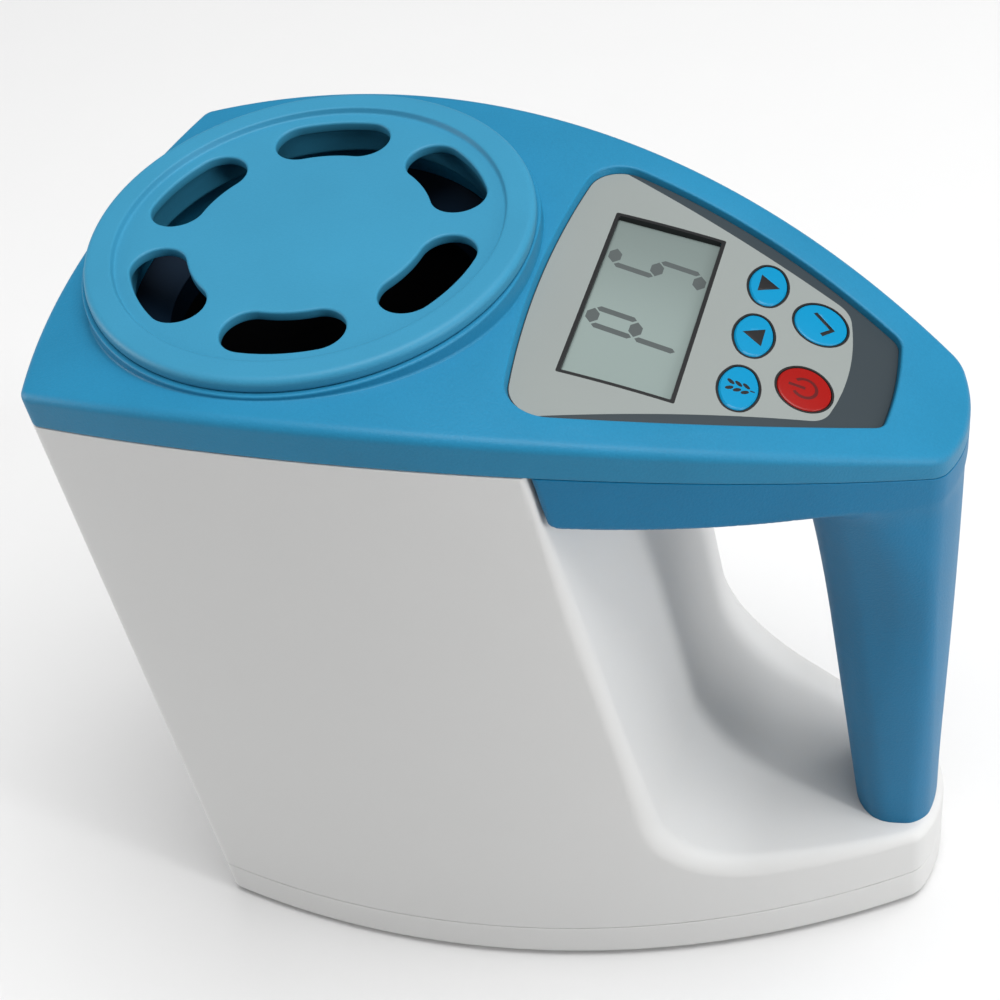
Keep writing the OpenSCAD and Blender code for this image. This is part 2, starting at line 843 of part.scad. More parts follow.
module key_up() { color(key_blue) key("key_up"); }
module key_down() { color(key_blue) key("key_down"); }
module key_mode() { color(key_blue) key("key_mode"); }
module key_ok() { color(key_blue) key("key_ok"); }
module key_power() { color(key_red) key("key_power"); }

// ---- batteries ----

cell_pitch = 15;
cell_r = 7.25;
aa_len = 50.5;
cells_y0 = -5;
bay_z0 = tray_z + tray_floor;
bay_inner = 4 * cell_pitch;
bay_x0 = (door_x0 + door_x1) / 2 - bay_inner / 2;
cell_axis_z = bay_z0 + 1 + cell_r;
contact_gap = 3;

module at_cells() {
    for (i = [0:3]) translate([bay_x0 + (i + 0.5) * cell_pitch, 0, cell_axis_z]) children();
}

module battery_holder() {
    t = 1.6;
    y0 = cells_y0 - contact_gap - 0.5;
    y1 = cells_y0 + aa_len + contact_gap + 0.5;
    color(black_plastic) difference() {
        translate([bay_x0 - t, y0 - t, bay_z0]) cube([bay_inner + 2 * t, y1 - y0 + 2 * t, 18.5]);
        translate([bay_x0, y0, bay_z0 - 1]) cube([bay_inner, y1 - y0, 17.8]);
    }
}

module battery_cells() {
    color("dimgray") at_cells() rotate([-90, 0, 0]) translate([0, 0, cells_y0]) {
        cylinder(r = cell_r, h = aa_len - 1);
        translate([0, 0, aa_len - 1]) cylinder(r = 2.7, h = 1);
    }
}

module battery_contacts() {
    y0 = cells_y0 - contact_gap - 0.5;
    y1 = cells_y0 + aa_len + contact_gap;
    color(steel) for (y = [y0, y1], i = [0:3])
        translate([bay_x0 + i * cell_pitch + 2, y, bay_z0 + 2]) cube([cell_pitch - 4, 0.5, 12]);
}

module battery_springs() {
    wire = 0.35;
    color(steel) at_cells() rotate([-90, 0, 0]) {
        for (i = [0:3]) translate([0, 0, cells_y0 - contact_gap + wire + i * 0.75])
            rotate_extrude() translate([3.6 - i * 0.5, 0]) circle(r = wire);
        translate([0, 0, cells_y0 + aa_len]) cylinder(r = 2, h = contact_gap);
    }
}

base_tray();
foot_pads();
battery_door();
body_shell();
top_cover();
throat_funnel();
lid();
grip();
cup_tube();
cup_floor();
cup_gasket();
outer_electrode();
centre_electrode();
electrode_cap();
electrode_insulator();
temperature_probe();
cup_bracket();
load_cell();
load_cell_riser();
load_cell_screws();
main_board();
board_chips();
board_spacers();
board_screws();
display_board();
lcd_glass();
lcd_holder();
display_window();
panel_overlay();
key_up();
key_down();
key_mode();
key_ok();
key_power();
tact_switches();
buzzer();
battery_holder();
battery_cells();
battery_contacts();
battery_springs();
cover_screws();
base_screws();
grip_screws();
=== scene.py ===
import json
import math

import bpy
import numpy as np
from mathutils import Matrix, Vector
from mathutils.geometry import delaunay_2d_cdt

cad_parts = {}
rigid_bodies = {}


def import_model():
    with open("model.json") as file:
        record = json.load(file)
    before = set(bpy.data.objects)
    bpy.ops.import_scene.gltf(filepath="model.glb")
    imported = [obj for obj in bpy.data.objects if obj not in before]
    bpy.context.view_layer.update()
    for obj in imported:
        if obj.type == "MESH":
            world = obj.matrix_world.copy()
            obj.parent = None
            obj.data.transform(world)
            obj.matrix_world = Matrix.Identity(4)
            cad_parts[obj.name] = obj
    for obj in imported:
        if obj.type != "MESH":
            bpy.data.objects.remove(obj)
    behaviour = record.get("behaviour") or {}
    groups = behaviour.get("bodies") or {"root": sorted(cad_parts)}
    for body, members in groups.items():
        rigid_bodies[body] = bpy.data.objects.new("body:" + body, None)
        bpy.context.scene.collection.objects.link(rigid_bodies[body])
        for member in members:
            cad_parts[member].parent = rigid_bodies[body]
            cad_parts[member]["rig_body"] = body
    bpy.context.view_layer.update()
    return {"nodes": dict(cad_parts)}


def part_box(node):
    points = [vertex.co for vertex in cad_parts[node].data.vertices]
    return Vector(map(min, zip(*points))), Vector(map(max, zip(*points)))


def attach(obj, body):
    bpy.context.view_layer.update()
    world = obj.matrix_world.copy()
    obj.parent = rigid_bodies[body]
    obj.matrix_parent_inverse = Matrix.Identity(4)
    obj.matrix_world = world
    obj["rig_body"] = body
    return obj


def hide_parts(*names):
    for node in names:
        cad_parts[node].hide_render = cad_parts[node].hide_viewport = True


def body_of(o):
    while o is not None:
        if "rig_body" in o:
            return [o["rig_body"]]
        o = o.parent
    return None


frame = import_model()
MM = 0.001

# ---------------------------------------------------------------- sizes, in mm, from the CAD source where not noted
# plan outline, x towards the handle's end; the tray's underside and its seam
LEN, WID, WIDE_X, SIDE_R = 210.0, 120.0, 42.5, 258.0
NOSE_R, TAIL_R, NOSE_ROUND, TAIL_ROUND = 165.0, 36.0, 4.0, 9.0
TRAY_Z, SEAM_Z = 1.2, 15.0
# arched top and the cover's lower edge, both highest at the same x
CROWN_X, CROWN_Z, CROWN_R = -39.5, 210.0, 314.0
EAVE_Z, EAVE_R = 199.5, 360.0
# lid with its skirt and slots, and the collar and throat under it, all round the cup's axis
CUP_X = -44.5
LID_R, LID_Z, RECESS_R, DISC_DROP, DISC_T = 52.5, 214.5, 46.0, 1.5, 2.6
SKIRT_R, SKIRT_T, SKIRT_DROP = 44.6, 1.8, 11.0
SLOT_R, SLOT_W, SLOT_A, SLOT_TURN = 35.3, 6.6, 12.3, 41.0
COLLAR_R, COLLAR_Z, THROAT_R, NECK_Z = 53.6, 211.0, 45.2, 198.0
# grip gap: its wall's lean, corner radius and shelf's fall are the visual model's own, tuned to the photograph
GAP_LEAN, GAP_ROUND, SHELF_FALL = math.radians(7.2), 29.0, math.radians(8.0)
WALL_TOP, SHELF_POINT = np.array([20.0, 194.0]), np.array([92.0, 33.5])
# the gap's edge, also the visual model's own: radius, and what it loses along the shelf, up the wall and near the top
# and gains on the far side, each as (amount, start, span)
EDGE_R, EDGE_SHELF, EDGE_WALL = 4.8, (1.9, 62, 35), (1.6, 45, 60)
EDGE_TOP, EDGE_FAR = (1.7, 140, 52), (4.2, -15, 30)
# grip: the arm's underside, then the column, whose sides spread by COL_SPREAD a mm and flare out into the arm
ARM_A, ARM_B, ARM_CLEAR, ARM_DROP, ARM_EDGE = np.array([23.9, 179.1]), np.array([75.6, 170.0]), 0.7, 0.8, 2.2
COL_FOOT, COL_LEAN, COL_HALF, COL_SPARE = 82.1, math.radians(5.0), 15.0, 0.5
COL_Z, COL_SPAN, COL_SPREAD, COL_FLARE = 34, 118, 0.018, (7.5, 110, 60)
COL_INNER_R, COL_TUCK, COL_OUTER_R, COL_OUTER_LESS = 11.0, 1.9, 8.0, 5.0
GRIP_BLEND, GRIP_EDGE = 10.0, 1.6
# key panel: recess, printed sheet, display frame with its black line, and the keys
RECESS, OVERLAY_T, OVERLAY_SINK = 2.2, 0.6, 0.02
LCD_X, FRAME_BOX, LINE = 33.65, (20.5, 46.8, -27.4, 27.4), 0.9
KEY_X, KEY_PITCH, ROUND_X, ROUND_Y = 58.1, 17.0, 71.1, 10.6
OVAL_A, OVAL_B, OVAL_END_R, ROUND_R, KEY_SEAM = 4.6, 6.8, 3.5, 6.4, 0.25
# skins: height of a cut's small lip, and how deep the wall behind it goes
LIP, LIP_FINE, LIP_DEPTH = 0.35, 0.25, 2.2
FAR_INSIDE = -1e3


# ---------------------------------------------------------------- smooth closed outlines made of arcs
class Loop:
    """Closed chain of tangent arcs (cx, cy, r, a0, a1), a corner of radius 0 allowed; counter-clockwise."""

    def __init__(self, arcs, step, least):
        pts, nrm = [], []
        for cx, cy, r, a0, a1 in arcs:
            n = max(least, int(math.ceil(abs(r * (a1 - a0)) / step)))
            s = 1.0 if a1 > a0 else -1.0
            for i in range(n):
                a = a0 + (a1 - a0) * i / n
                pts.append((cx + r * math.cos(a), cy + r * math.sin(a)))
                nrm.append((s * math.cos(a), s * math.sin(a)))
        self.p, self.n = np.array(pts), np.array(nrm)

    def at(self, o):
        """Points o inside the outline."""
        return self.p - self.n * o


def meet(c1, r1, c2, r2, side):
    """Where two circles cross, on one side of the line between their centres."""
    d = np.subtract(c2, c1)
    l = np.hypot(*d)
    a = (r1 * r1 - r2 * r2 + l * l) / (2 * l)
    h = math.sqrt(max(r1 * r1 - a * a, 0))
    return np.array(c1) + a * d / l + side * h * np.array([-d[1], d[0]]) / l


def boat_arcs(nose_x, n_r, n_round, tail_x, t_r, t_round, arc_r):
    """Nose, rounded corner, side, rounded corner and tail, then the same mirrored about y = 0."""
    side_c = np.array([-WIDE_X, SIDE_R - WID / 2])
    n_c, t_c = np.array([nose_x + n_r, 0.0]), np.array([tail_x - t_r, 0.0])
    k1 = meet(n_c, n_r - n_round, side_c, arc_r - n_round, 1)
    k2 = meet(t_c, t_r - t_round, side_c, arc_r - t_round, -1)
    bear = lambda v: math.atan2(v[1], v[0])
    near = [
        (*n_c, n_r, -math.pi, bear(k1 - n_c)),
        (*k1, n_round, bear(k1 - n_c), bear(k1 - side_c)),
        (*side_c, arc_r, bear(k1 - side_c), bear(k2 - side_c)),
        (*k2, t_round, bear(k2 - side_c), bear(k2 - t_c)),
        (*t_c, t_r, bear(k2 - t_c), 0.0),
    ]
    return near + [(cx, -cy, r, -a1, -a0) for cx, cy, r, a0, a1 in reversed(near)]


OUT = Loop(boat_arcs(-LEN / 2, NOSE_R, NOSE_ROUND, LEN / 2, TAIL_R, TAIL_ROUND, SIDE_R), 1.3, 8)
PANEL = Loop(boat_arcs(nose_x=9.3, n_r=240.0, n_round=9.0, tail_x=88.9, t_r=100.0, t_round=4.2,
                       arc_r=SIDE_R - 9.1), 1.1, 10)


def arch(x, depth=0.0):
    """Height of the arched top, or of the arch depth below it."""
    return CROWN_Z - CROWN_R + np.sqrt((CROWN_R - depth) ** 2 - (np.asarray(x) - CROWN_X) ** 2)


def on_arch(depth=0.0):
    """Lifts plan points onto the arch at a depth."""
    return lambda x, y: np.column_stack([x, y, arch(x, depth)])


def eave(x):
    """Height of the cover's lower edge."""
    return EAVE_Z - EAVE_R + np.sqrt(EAVE_R**2 - (np.asarray(x) - CROWN_X) ** 2)


# ---------------------------------------------------------------- mesh helpers
def place(name, data):
    """New object in the scene."""
    ob = bpy.data.objects.new(name, data)
    bpy.context.scene.collection.objects.link(ob)
    return ob


def new_mesh(name, verts, faces):
    """Mesh from points in mm."""
    me = bpy.data.meshes.new(name)
    me.from_pydata([tuple(p) for p in np.asarray(verts, float) * MM], [], [tuple(int(i) for i in f) for f in faces])
    return me


def smooth(me, sharp=None):
    """Smooth shading, apart from edges sharper than an angle in degrees."""
    me.polygons.foreach_set("use_smooth", np.ones(len(me.polygons), bool))
    if sharp is not None:
        me.set_sharp_from_angle(angle=math.radians(sharp))


def solid(name, verts, faces, mats, body, mat_ids=None, normals=None, sharp=None):
    """Mesh object from points in mm, riding on a body."""
    me = new_mesh(name, verts, faces)
    for m in mats:
        me.materials.append(m)
    if mat_ids is not None:
        me.polygons.foreach_set("material_index", np.asarray(mat_ids, np.int32))
    me.validate()
    me.update()
    smooth(me, sharp)
    if normals is not None:
        me.normals_split_custom_set_from_vertices([tuple(n) for n in normals])
    ob = place(name, me)
    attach(ob, body)
    return ob


def drop_loose(count, faces):
    """Marks the points that some face uses, and renumbers the faces for them."""
    used = np.zeros(count, bool)
    for f in faces:
        used[list(f)] = True
    at = np.cumsum(used) - 1
    return used, [tuple(int(at[i]) for i in f) for f in faces]


class Build:
    """Collects points, and faces with their material slots."""

    CLEAR, MERGE = 0.55, 1e-7  # how near a loop a spare point may be, as a share of the spacing; same point, in mm

    def __init__(self):
        self.v, self.f, self.m, self.count = [], [], [], 0

    def add(self, pts):
        pts = np.asarray(pts, float).reshape(-1, 3)
        self.v.append(pts)
        first = self.count
        self.count += len(pts)
        return np.arange(first, first + len(pts))

    def band(self, a, b, mat=0):
        """Quads between two closed rings of indices; with a below b on counter-clockwise rings they face outwards."""
        for i in range(len(a)):
            j = (i + 1) % len(a)
            self.f.append((a[i], a[j], b[j], b[i]))
            self.m.append(mat)

    def rings(self, rings, mat=0):
        """Adds rings of points with bands between them; returns each ring's indices."""
        ids = [self.add(r) for r in rings]
        for a, b in zip(ids, ids[1:]):
            self.band(a, b, mat)
        return ids

    def cap(self, ring, mat=0, flip=False):
        self.f.append(tuple(ring[::-1]) if flip else tuple(ring))
        self.m.append(mat)

    def fill(self, loops, lift, mat_of, spacing, keep, ids, flip=False):
        """Triangles over the plane region keep(x, y), conforming to the loops, with spare points spacing apart.
        lift turns plane points into points in space, and mat_of is a slot or gives the slot at a plane point.
        ids holds the index arrays of the loops whose points are already in the mesh, None for the others."""
        pts, edges, given = [], [], []
        for k, lp in enumerate(loops):
            s = len(pts)
            pts += [tuple(p) for p in lp]
            edges += [(s + i, s + (i + 1) % len(lp)) for i in range(len(lp))]
            given += list(ids[k]) if ids[k] is not None else [-1] * len(lp)
        arr = np.array(pts)
        lo, hi = arr.min(0), arr.max(0)
        extra = np.array([(x, y) for i, x in enumerate(np.arange(lo[0], hi[0], spacing))
                          for y in np.arange(lo[1] + (i % 2) * spacing / 2, hi[1], spacing)])
        extra = extra[keep(extra[:, 0], extra[:, 1])]
        near = np.min(np.hypot(extra[:, None, 0] - arr[None, :, 0], extra[:, None, 1] - arr[None, :, 1]), axis=1)
        extra = extra[near > spacing * self.CLEAR]
        every = [Vector(p) for p in pts] + [Vector(p) for p in extra]
        vo, _, fo, ov, _, _ = delaunay_2d_cdt(every, edges, [], 0, self.MERGE)
        co = np.array([tuple(v) for v in vo])
        index = np.full(len(co), -1)
        for i, src in enumerate(ov):
            for s in src:
                if s < len(given) and given[s] >= 0:
                    index[i] = given[s]
        new = index < 0
        index[new] = self.add(lift(co[new, 0], co[new, 1]))
        tri = np.array([f for f in fo if len(f) == 3])
        mid = co[tri].mean(1)
        ok = keep(mid[:, 0], mid[:, 1])
        tri, mid = tri[ok], mid[ok]
        a, b, c = co[tri[:, 0]], co[tri[:, 1]], co[tri[:, 2]]
        turn = (b[:, 0] - a[:, 0]) * (c[:, 1] - a[:, 1]) - (b[:, 1] - a[:, 1]) * (c[:, 0] - a[:, 0])
        back = (turn < 0) ^ flip
        tri[back] = tri[back][:, ::-1]
        kinds = mat_of(mid[:, 0], mid[:, 1]) if callable(mat_of) else np.full(len(tri), mat_of)
        for t, m in zip(tri, kinds):
            self.f.append(tuple(index[t]))
            self.m.append(int(m))

    def make(self, name, mats, body, **kw):
        """The object, without the points that no face uses."""
        used, faces = drop_loose(self.count, self.f)
        return solid(name, np.concatenate(self.v)[used], faces, mats, body, mat_ids=self.m, **kw)


def inside(poly, x, y):
    """True where the points lie inside the polygon."""
    x, y = np.asarray(x, float), np.asarray(y, float)
    hit = np.zeros(x.shape, bool)
    px, py = poly[:, 0], poly[:, 1]
    qx, qy = np.roll(px, -1), np.roll(py, -1)
    for x0, y0, x1, y1 in zip(px, py, qx, qy):
        if y0 == y1:
            continue
        c = ((y0 > y) != (y1 > y)) & (x < (x1 - x0) * (y - y0) / (y1 - y0) + x0)
        hit ^= c
    return hit


def in_any(loops, x, y):
    """True where the points lie inside one of the outlines."""
    return np.any([inside(h, x, y) for h in loops], axis=0)


def between(outline, holes):
    """Test for points inside the outline and outside the holes."""
    return lambda x, y: inside(outline, x, y) & ~in_any(holes, x, y)


def with_z(p, z):
    """Plan points at a height, or at a height each."""
    z = np.broadcast_to(np.asarray(z, float), (len(p),))
    return np.column_stack([p, z])


def circle(r, n, cx=0.0, cy=0.0):
    a = np.arange(n) * 2 * math.pi / n
    return np.column_stack([cx + r * np.cos(a), cy + r * np.sin(a)])


# ---------------------------------------------------------------- signed distance and surface extraction
def in_wedge(u1, u2, vx, vy):
    """True where v points between the directions u1 and u2."""
    det = u1[0] * u2[1] - u1[1] * u2[0]
    return ((vx * u2[1] - vy * u2[0]) / det > 0) & ((u1[0] * vy - u1[1] * vx) / det > 0)


def d_outline(x, y):
    """Signed distance to the plan outline, negative inside."""
    y = np.abs(y)
    s = (-WIDE_X, -(SIDE_R - WID / 2))
    n, t = (-LEN / 2 + NOSE_R, 0.0), (LEN / 2 - TAIL_R, 0.0)
    dn = np.hypot(x - n[0], y) - NOSE_R
    ds = np.hypot(x - s[0], y - s[1]) - SIDE_R
    dt = np.where(x > t[0], np.hypot(x - t[0], y) - TAIL_R, FAR_INSIDE)
    d = np.maximum(np.where(x < n[0], dn, FAR_INSIDE), np.maximum(ds, dt))
    for end, er, rr, sg in ((n, NOSE_R, NOSE_ROUND, -1), (t, TAIL_R, TAIL_ROUND, 1)):
        k = meet(end, er - rr, s, SIDE_R - rr, sg)
        u1, u2 = (k - end) / np.hypot(*(k - end)), (k - s) / np.hypot(*(k - s))
        d = np.where(in_wedge(u1, u2, x - k[0], y - k[1]), np.hypot(x - k[0], y - k[1]) - rr, d)
    return d


def round_and(a, b, r):
    """Intersection with its edge rounded."""
    u, v = np.maximum(a + r, 0), np.maximum(b + r, 0)
    return np.minimum(np.maximum(a, b), -r) + np.hypot(u, v)


def soft_or(a, b, k):
    """Union with its inner corner filled over a width k."""
    h = np.maximum(k - np.abs(a - b), 0) / k
    return np.minimum(a, b) - h**3 * k / 6


def line_side(x, z, p, direction):
    """Distance from the line through p, positive on its right-hand side."""
    return (x - p[0]) * direction[1] - (z - p[1]) * direction[0]


W_DOWN = np.array([math.sin(GAP_LEAN), -math.cos(GAP_LEAN)])
S_ALONG = np.array([math.cos(SHELF_FALL), -math.sin(SHELF_FALL)])
ARM_FALL = math.atan2(ARM_A[1] - ARM_B[1], ARM_B[0] - ARM_A[0])
ARM_ALONG = np.array([math.cos(ARM_FALL), -math.sin(ARM_FALL)])


def cross_point(p, u, q, v):
    """Where the lines through p along u and through q along v cross."""
    t = ((q[0] - p[0]) * v[1] - (q[1] - p[1]) * v[0]) / (u[0] * v[1] - u[1] * v[0])
    return p + u * t


GAP_CORNER = cross_point(WALL_TOP, W_DOWN, SHELF_POINT, S_ALONG)


def d_gap(x, z):
    """The body's distance as seen by the grip gap alone: negative where there is body."""
    right = -line_side(x, z, WALL_TOP, W_DOWN)
    above = -line_side(x, z, SHELF_POINT, S_ALONG)
    d = np.minimum(right, above)
    half = math.acos(np.dot(-W_DOWN, S_ALONG)) / 2
    bis = (S_ALONG - W_DOWN) / np.hypot(*(S_ALONG - W_DOWN))
    f = GAP_CORNER + bis * GAP_ROUND / math.sin(half)
    t1 = np.array([-math.cos(GAP_LEAN), -math.sin(GAP_LEAN)])
    t2 = np.array([-math.sin(SHELF_FALL), -math.cos(SHELF_FALL)])
    vx, vz = x - f[0], z - f[1]
    return np.where(in_wedge(t1, t2, vx, vz), GAP_ROUND - np.hypot(vx, vz), d)


def ramp(v, start, span):
    """0 up to start, 1 from start + span on, straight between."""
    return np.clip((v - start) / span, 0, 1)


def ease(t):
    """Soft start and end for a value from 0 to 1."""
    return t * t * (3 - 2 * t)


def d_body(x, y, z):
    """White shell: the plan outline without the grip gap, their common edge rounded by a radius that varies."""
    soft = lambda v, amount, start, span: amount * ease(ramp(v, start, span))
    r = EDGE_R - EDGE_SHELF[0] * ramp(x, *EDGE_SHELF[1:]) - soft(z, *EDGE_WALL) - soft(z, *EDGE_TOP)
    return round_and(d_outline(x, y), d_gap(x, z), r + soft(y, *EDGE_FAR))


def d_grip(x, y, z):
    """Arm and column in one moulding, inside the plan outline."""
    out = d_outline(x, y)
    # arm: right of the wall line, above the underside
    left = line_side(x, z, WALL_TOP + np.array([ARM_CLEAR, 0]), W_DOWN)
    under = line_side(x, z, ARM_A - np.array([0, ARM_DROP]), ARM_ALONG)
    arm = round_and(left, under, ARM_EDGE)
    # column: leaning inner face, sides that narrow to the foot, outer face drawn in at the foot
    t = ease(ramp(z, COL_Z, COL_SPAN))
    half = COL_HALF + COL_SPARE + (z - COL_Z) * COL_SPREAD + COL_FLARE[0] * ramp(z, *COL_FLARE[1:]) ** 2
    inner = (COL_FOOT - (z - SHELF_POINT[1]) * math.tan(COL_LEAN) - x) * math.cos(COL_LEAN)
    col = round_and(np.abs(y) - half, inner, COL_INNER_R)
    col = round_and(col, out + COL_TUCK * (1 - t), COL_OUTER_R - COL_OUTER_LESS * t)
    return round_and(soft_or(arm, col, GRIP_BLEND), out, GRIP_EDGE)


def gradient(fn, p, e=0.02):
    g = np.empty_like(p)
    for k in range(3):
        a, b = p.copy(), p.copy()
        a[:, k] += e
        b[:, k] -= e
        g[:, k] = (fn(*a.T) - fn(*b.T)) / (2 * e)
    return g


def step_to(p, value, g):
    """One Newton step of points along the gradient g, to where the value is zero."""
    return p - g * (value / np.maximum((g**2).sum(1), 1e-6))[:, None]


def settle(fn, p, turns=4):
    """Moves points onto the surface."""
    for _ in range(turns):
        p = step_to(p, fn(*p.T), gradient(fn, p))
    return p


def extract(fn, lo, hi, h):
    """Quads near the zero surface on a regular grid, one point per crossed cell."""
    ax = [np.arange(l, u + h, h) for l, u in zip(lo, hi)]
    f = fn(ax[0][:, None, None], ax[1][None, :, None], ax[2][None, None, :]).astype(np.float32)
    f = np.broadcast_to(f, tuple(len(a) for a in ax))
    ins = f < 0
    cell = np.zeros(tuple(n - 1 for n in f.shape), np.int8)
    for i in (0, 1):
        for j in (0, 1):
            for k in (0, 1):
                cell += ins[i : i + cell.shape[0], j : j + cell.shape[1], k : k + cell.shape[2]]
    mixed = (cell > 0) & (cell < 8)
    idx = np.full(mixed.shape, -1, np.int64)
    where = np.argwhere(mixed)
    idx[mixed] = np.arange(len(where))
    # each cell's point is the mean of the crossings on its twelve edges
    total, num = np.zeros((len(where), 3)), np.zeros(len(where))
    for d in range(3):
        o1, o2 = [q for q in range(3) if q != d]
        for i in (0, 1):
            for j in (0, 1):
                off = np.zeros(3, int)
                off[o1], off[o2] = i, j
                a = where + off
                b = a.copy()
                b[:, d] += 1
                fa, fb = f[tuple(a.T)], f[tuple(b.T)]
                c = (fa < 0) != (fb < 0)
                t = np.where(c, fa / np.where(c, fa - fb, 1), 0)
                p = a.astype(float)
                p[:, d] += t
                total[c] += p[c]
                num[c] += 1
    pts = total / num[:, None] * h + np.array(lo)
    faces = []
    # a quad round each grid edge that crosses the surface, turned to face outwards
    for d in range(3):
        o1, o2 = (d + 1) % 3, (d + 2) % 3
        sl_a, sl_b = [slice(1, -1)] * 3, [slice(1, -1)] * 3
        sl_a[d], sl_b[d] = slice(0, -1), slice(1, None)
        a, b = ins[tuple(sl_a)], ins[tuple(sl_b)]
        e = np.argwhere(a != b)
        fwd = a[tuple(e.T)]
        q = []
        for i, j in ((0, 0), (1, 0), (1, 1), (0, 1)):
            c = e.copy()
            c[:, o1] += i
            c[:, o2] += j
            q.append(idx[tuple(c.T)])
        q = np.stack(q, 1)
        q[~fwd] = q[~fwd][:, ::-1]
        faces.append(q)
    return pts, np.concatenate(faces)


def clip_above(p, tri, level):
    """Keeps the part of the triangles where level(p) > 0; returns points, triangles and the cut's edges."""
    s, base, cut, extra = level(p), len(p), {}, []

    def crossing(i, j):
        key = (i, j) if i < j else (j, i)
        if key not in cut:
            t = s[i] / (s[i] - s[j])
            cut[key] = base + len(extra)
            extra.append(p[i] + (p[j] - p[i]) * t)
        return cut[key]

    pos = s > 0
    n_in = pos[tri].sum(1)
    out = [tuple(t) for t in tri[n_in == 3]]
    rim = []
    for t in tri[(n_in > 0) & (n_in < 3)]:
        o = next(i for i in range(3) if pos[t[i]] != (pos[t].sum() == 2))
        a, b, c = t[o], t[(o + 1) % 3], t[(o + 2) % 3]
        ab, ca = crossing(a, b), crossing(a, c)
        if pos[a]:
            out.append((a, ab, ca))
            rim.append((ab, ca))
        else:
            out += [(ab, b, c), (ab, c, ca)]
            rim.append((ca, ab))
    return np.concatenate([p, np.array(extra)]) if extra else p, np.array(out), rim


def level_slope(level, p):
    """Gradient of a cutting level, which takes points."""
    return gradient(lambda x, y, z: level(np.column_stack([x, y, z])), p)


def on_both(fn, level, p):
    """Moves points onto the surface and the cutting level together."""
    for _ in range(6):
        p = settle(fn, p, 1)
        p = step_to(p, level(p), level_slope(level, p))
    return p


def skin(name, fn, lo, hi, h, levels, mats, body, lips):
    """Smooth outer skin of fn, cut by the levels, each cut finished with a small turned-in lip."""
    p, q = extract(fn, lo, hi, h)
    p = settle(fn, p)
    tri = np.concatenate([q[:, [0, 1, 2]], q[:, [0, 2, 3]]])
    rims = []
    for level in levels:
        before = len(p)
        p, tri, rim = clip_above(p, tri, level)
        if len(p) > before:
            p[before:] = on_both(fn, level, p[before:])
        rims.append(rim)
    nrm = gradient(fn, p)
    nrm /= np.maximum(np.linalg.norm(nrm, axis=1), 1e-9)[:, None]
    v, n, f = [p], [nrm], [tuple(t) for t in tri]
    count = len(p)
    for (level, rim), lip in zip(zip(levels, rims), lips):
        if not rim or lip is None:
            continue
        ring = sorted({i for e in rim for i in e})
        at = {i: k for k, i in enumerate(ring)}
        pr, nr = p[ring], nrm[ring]
        g = level_slope(level, pr)
        away = -g / np.linalg.norm(g, axis=1)[:, None]
        flat_n = nr - (nr * away).sum(1)[:, None] * away
        flat_n /= np.maximum(np.linalg.norm(flat_n, axis=1), 1e-9)[:, None]
        steps = []
        for a in (30, 60, 90):
            ca, sa = math.cos(math.radians(a)), math.sin(math.radians(a))
            steps.append((pr - flat_n * lip * (1 - ca) + away * lip * sa, flat_n * ca + away * sa))
        steps.append((pr - flat_n * LIP_DEPTH + away * lip, away))
        prev = np.array(ring)
        for points, normals in steps:
            v.append(points)
            n.append(normals)
            ids = np.arange(count, count + len(ring))
            count += len(ring)
            f += [(prev[at[j]], prev[at[i]], ids[at[i]], ids[at[j]]) for i, j in rim]
            prev = ids
    used, f = drop_loose(count, f)
    return solid(name, np.concatenate(v)[used], f, mats, body, normals=np.concatenate(n)[used])


# ---------------------------------------------------------------- materials
PATCH_MM = 28.0


def lin(r, g, b):
    """Linear colour from 8-bit display values."""
    return tuple(((c / 255 + 0.055) / 1.055) ** 2.4 if c > 10 else c / 255 / 12.92 for c in (r, g, b))


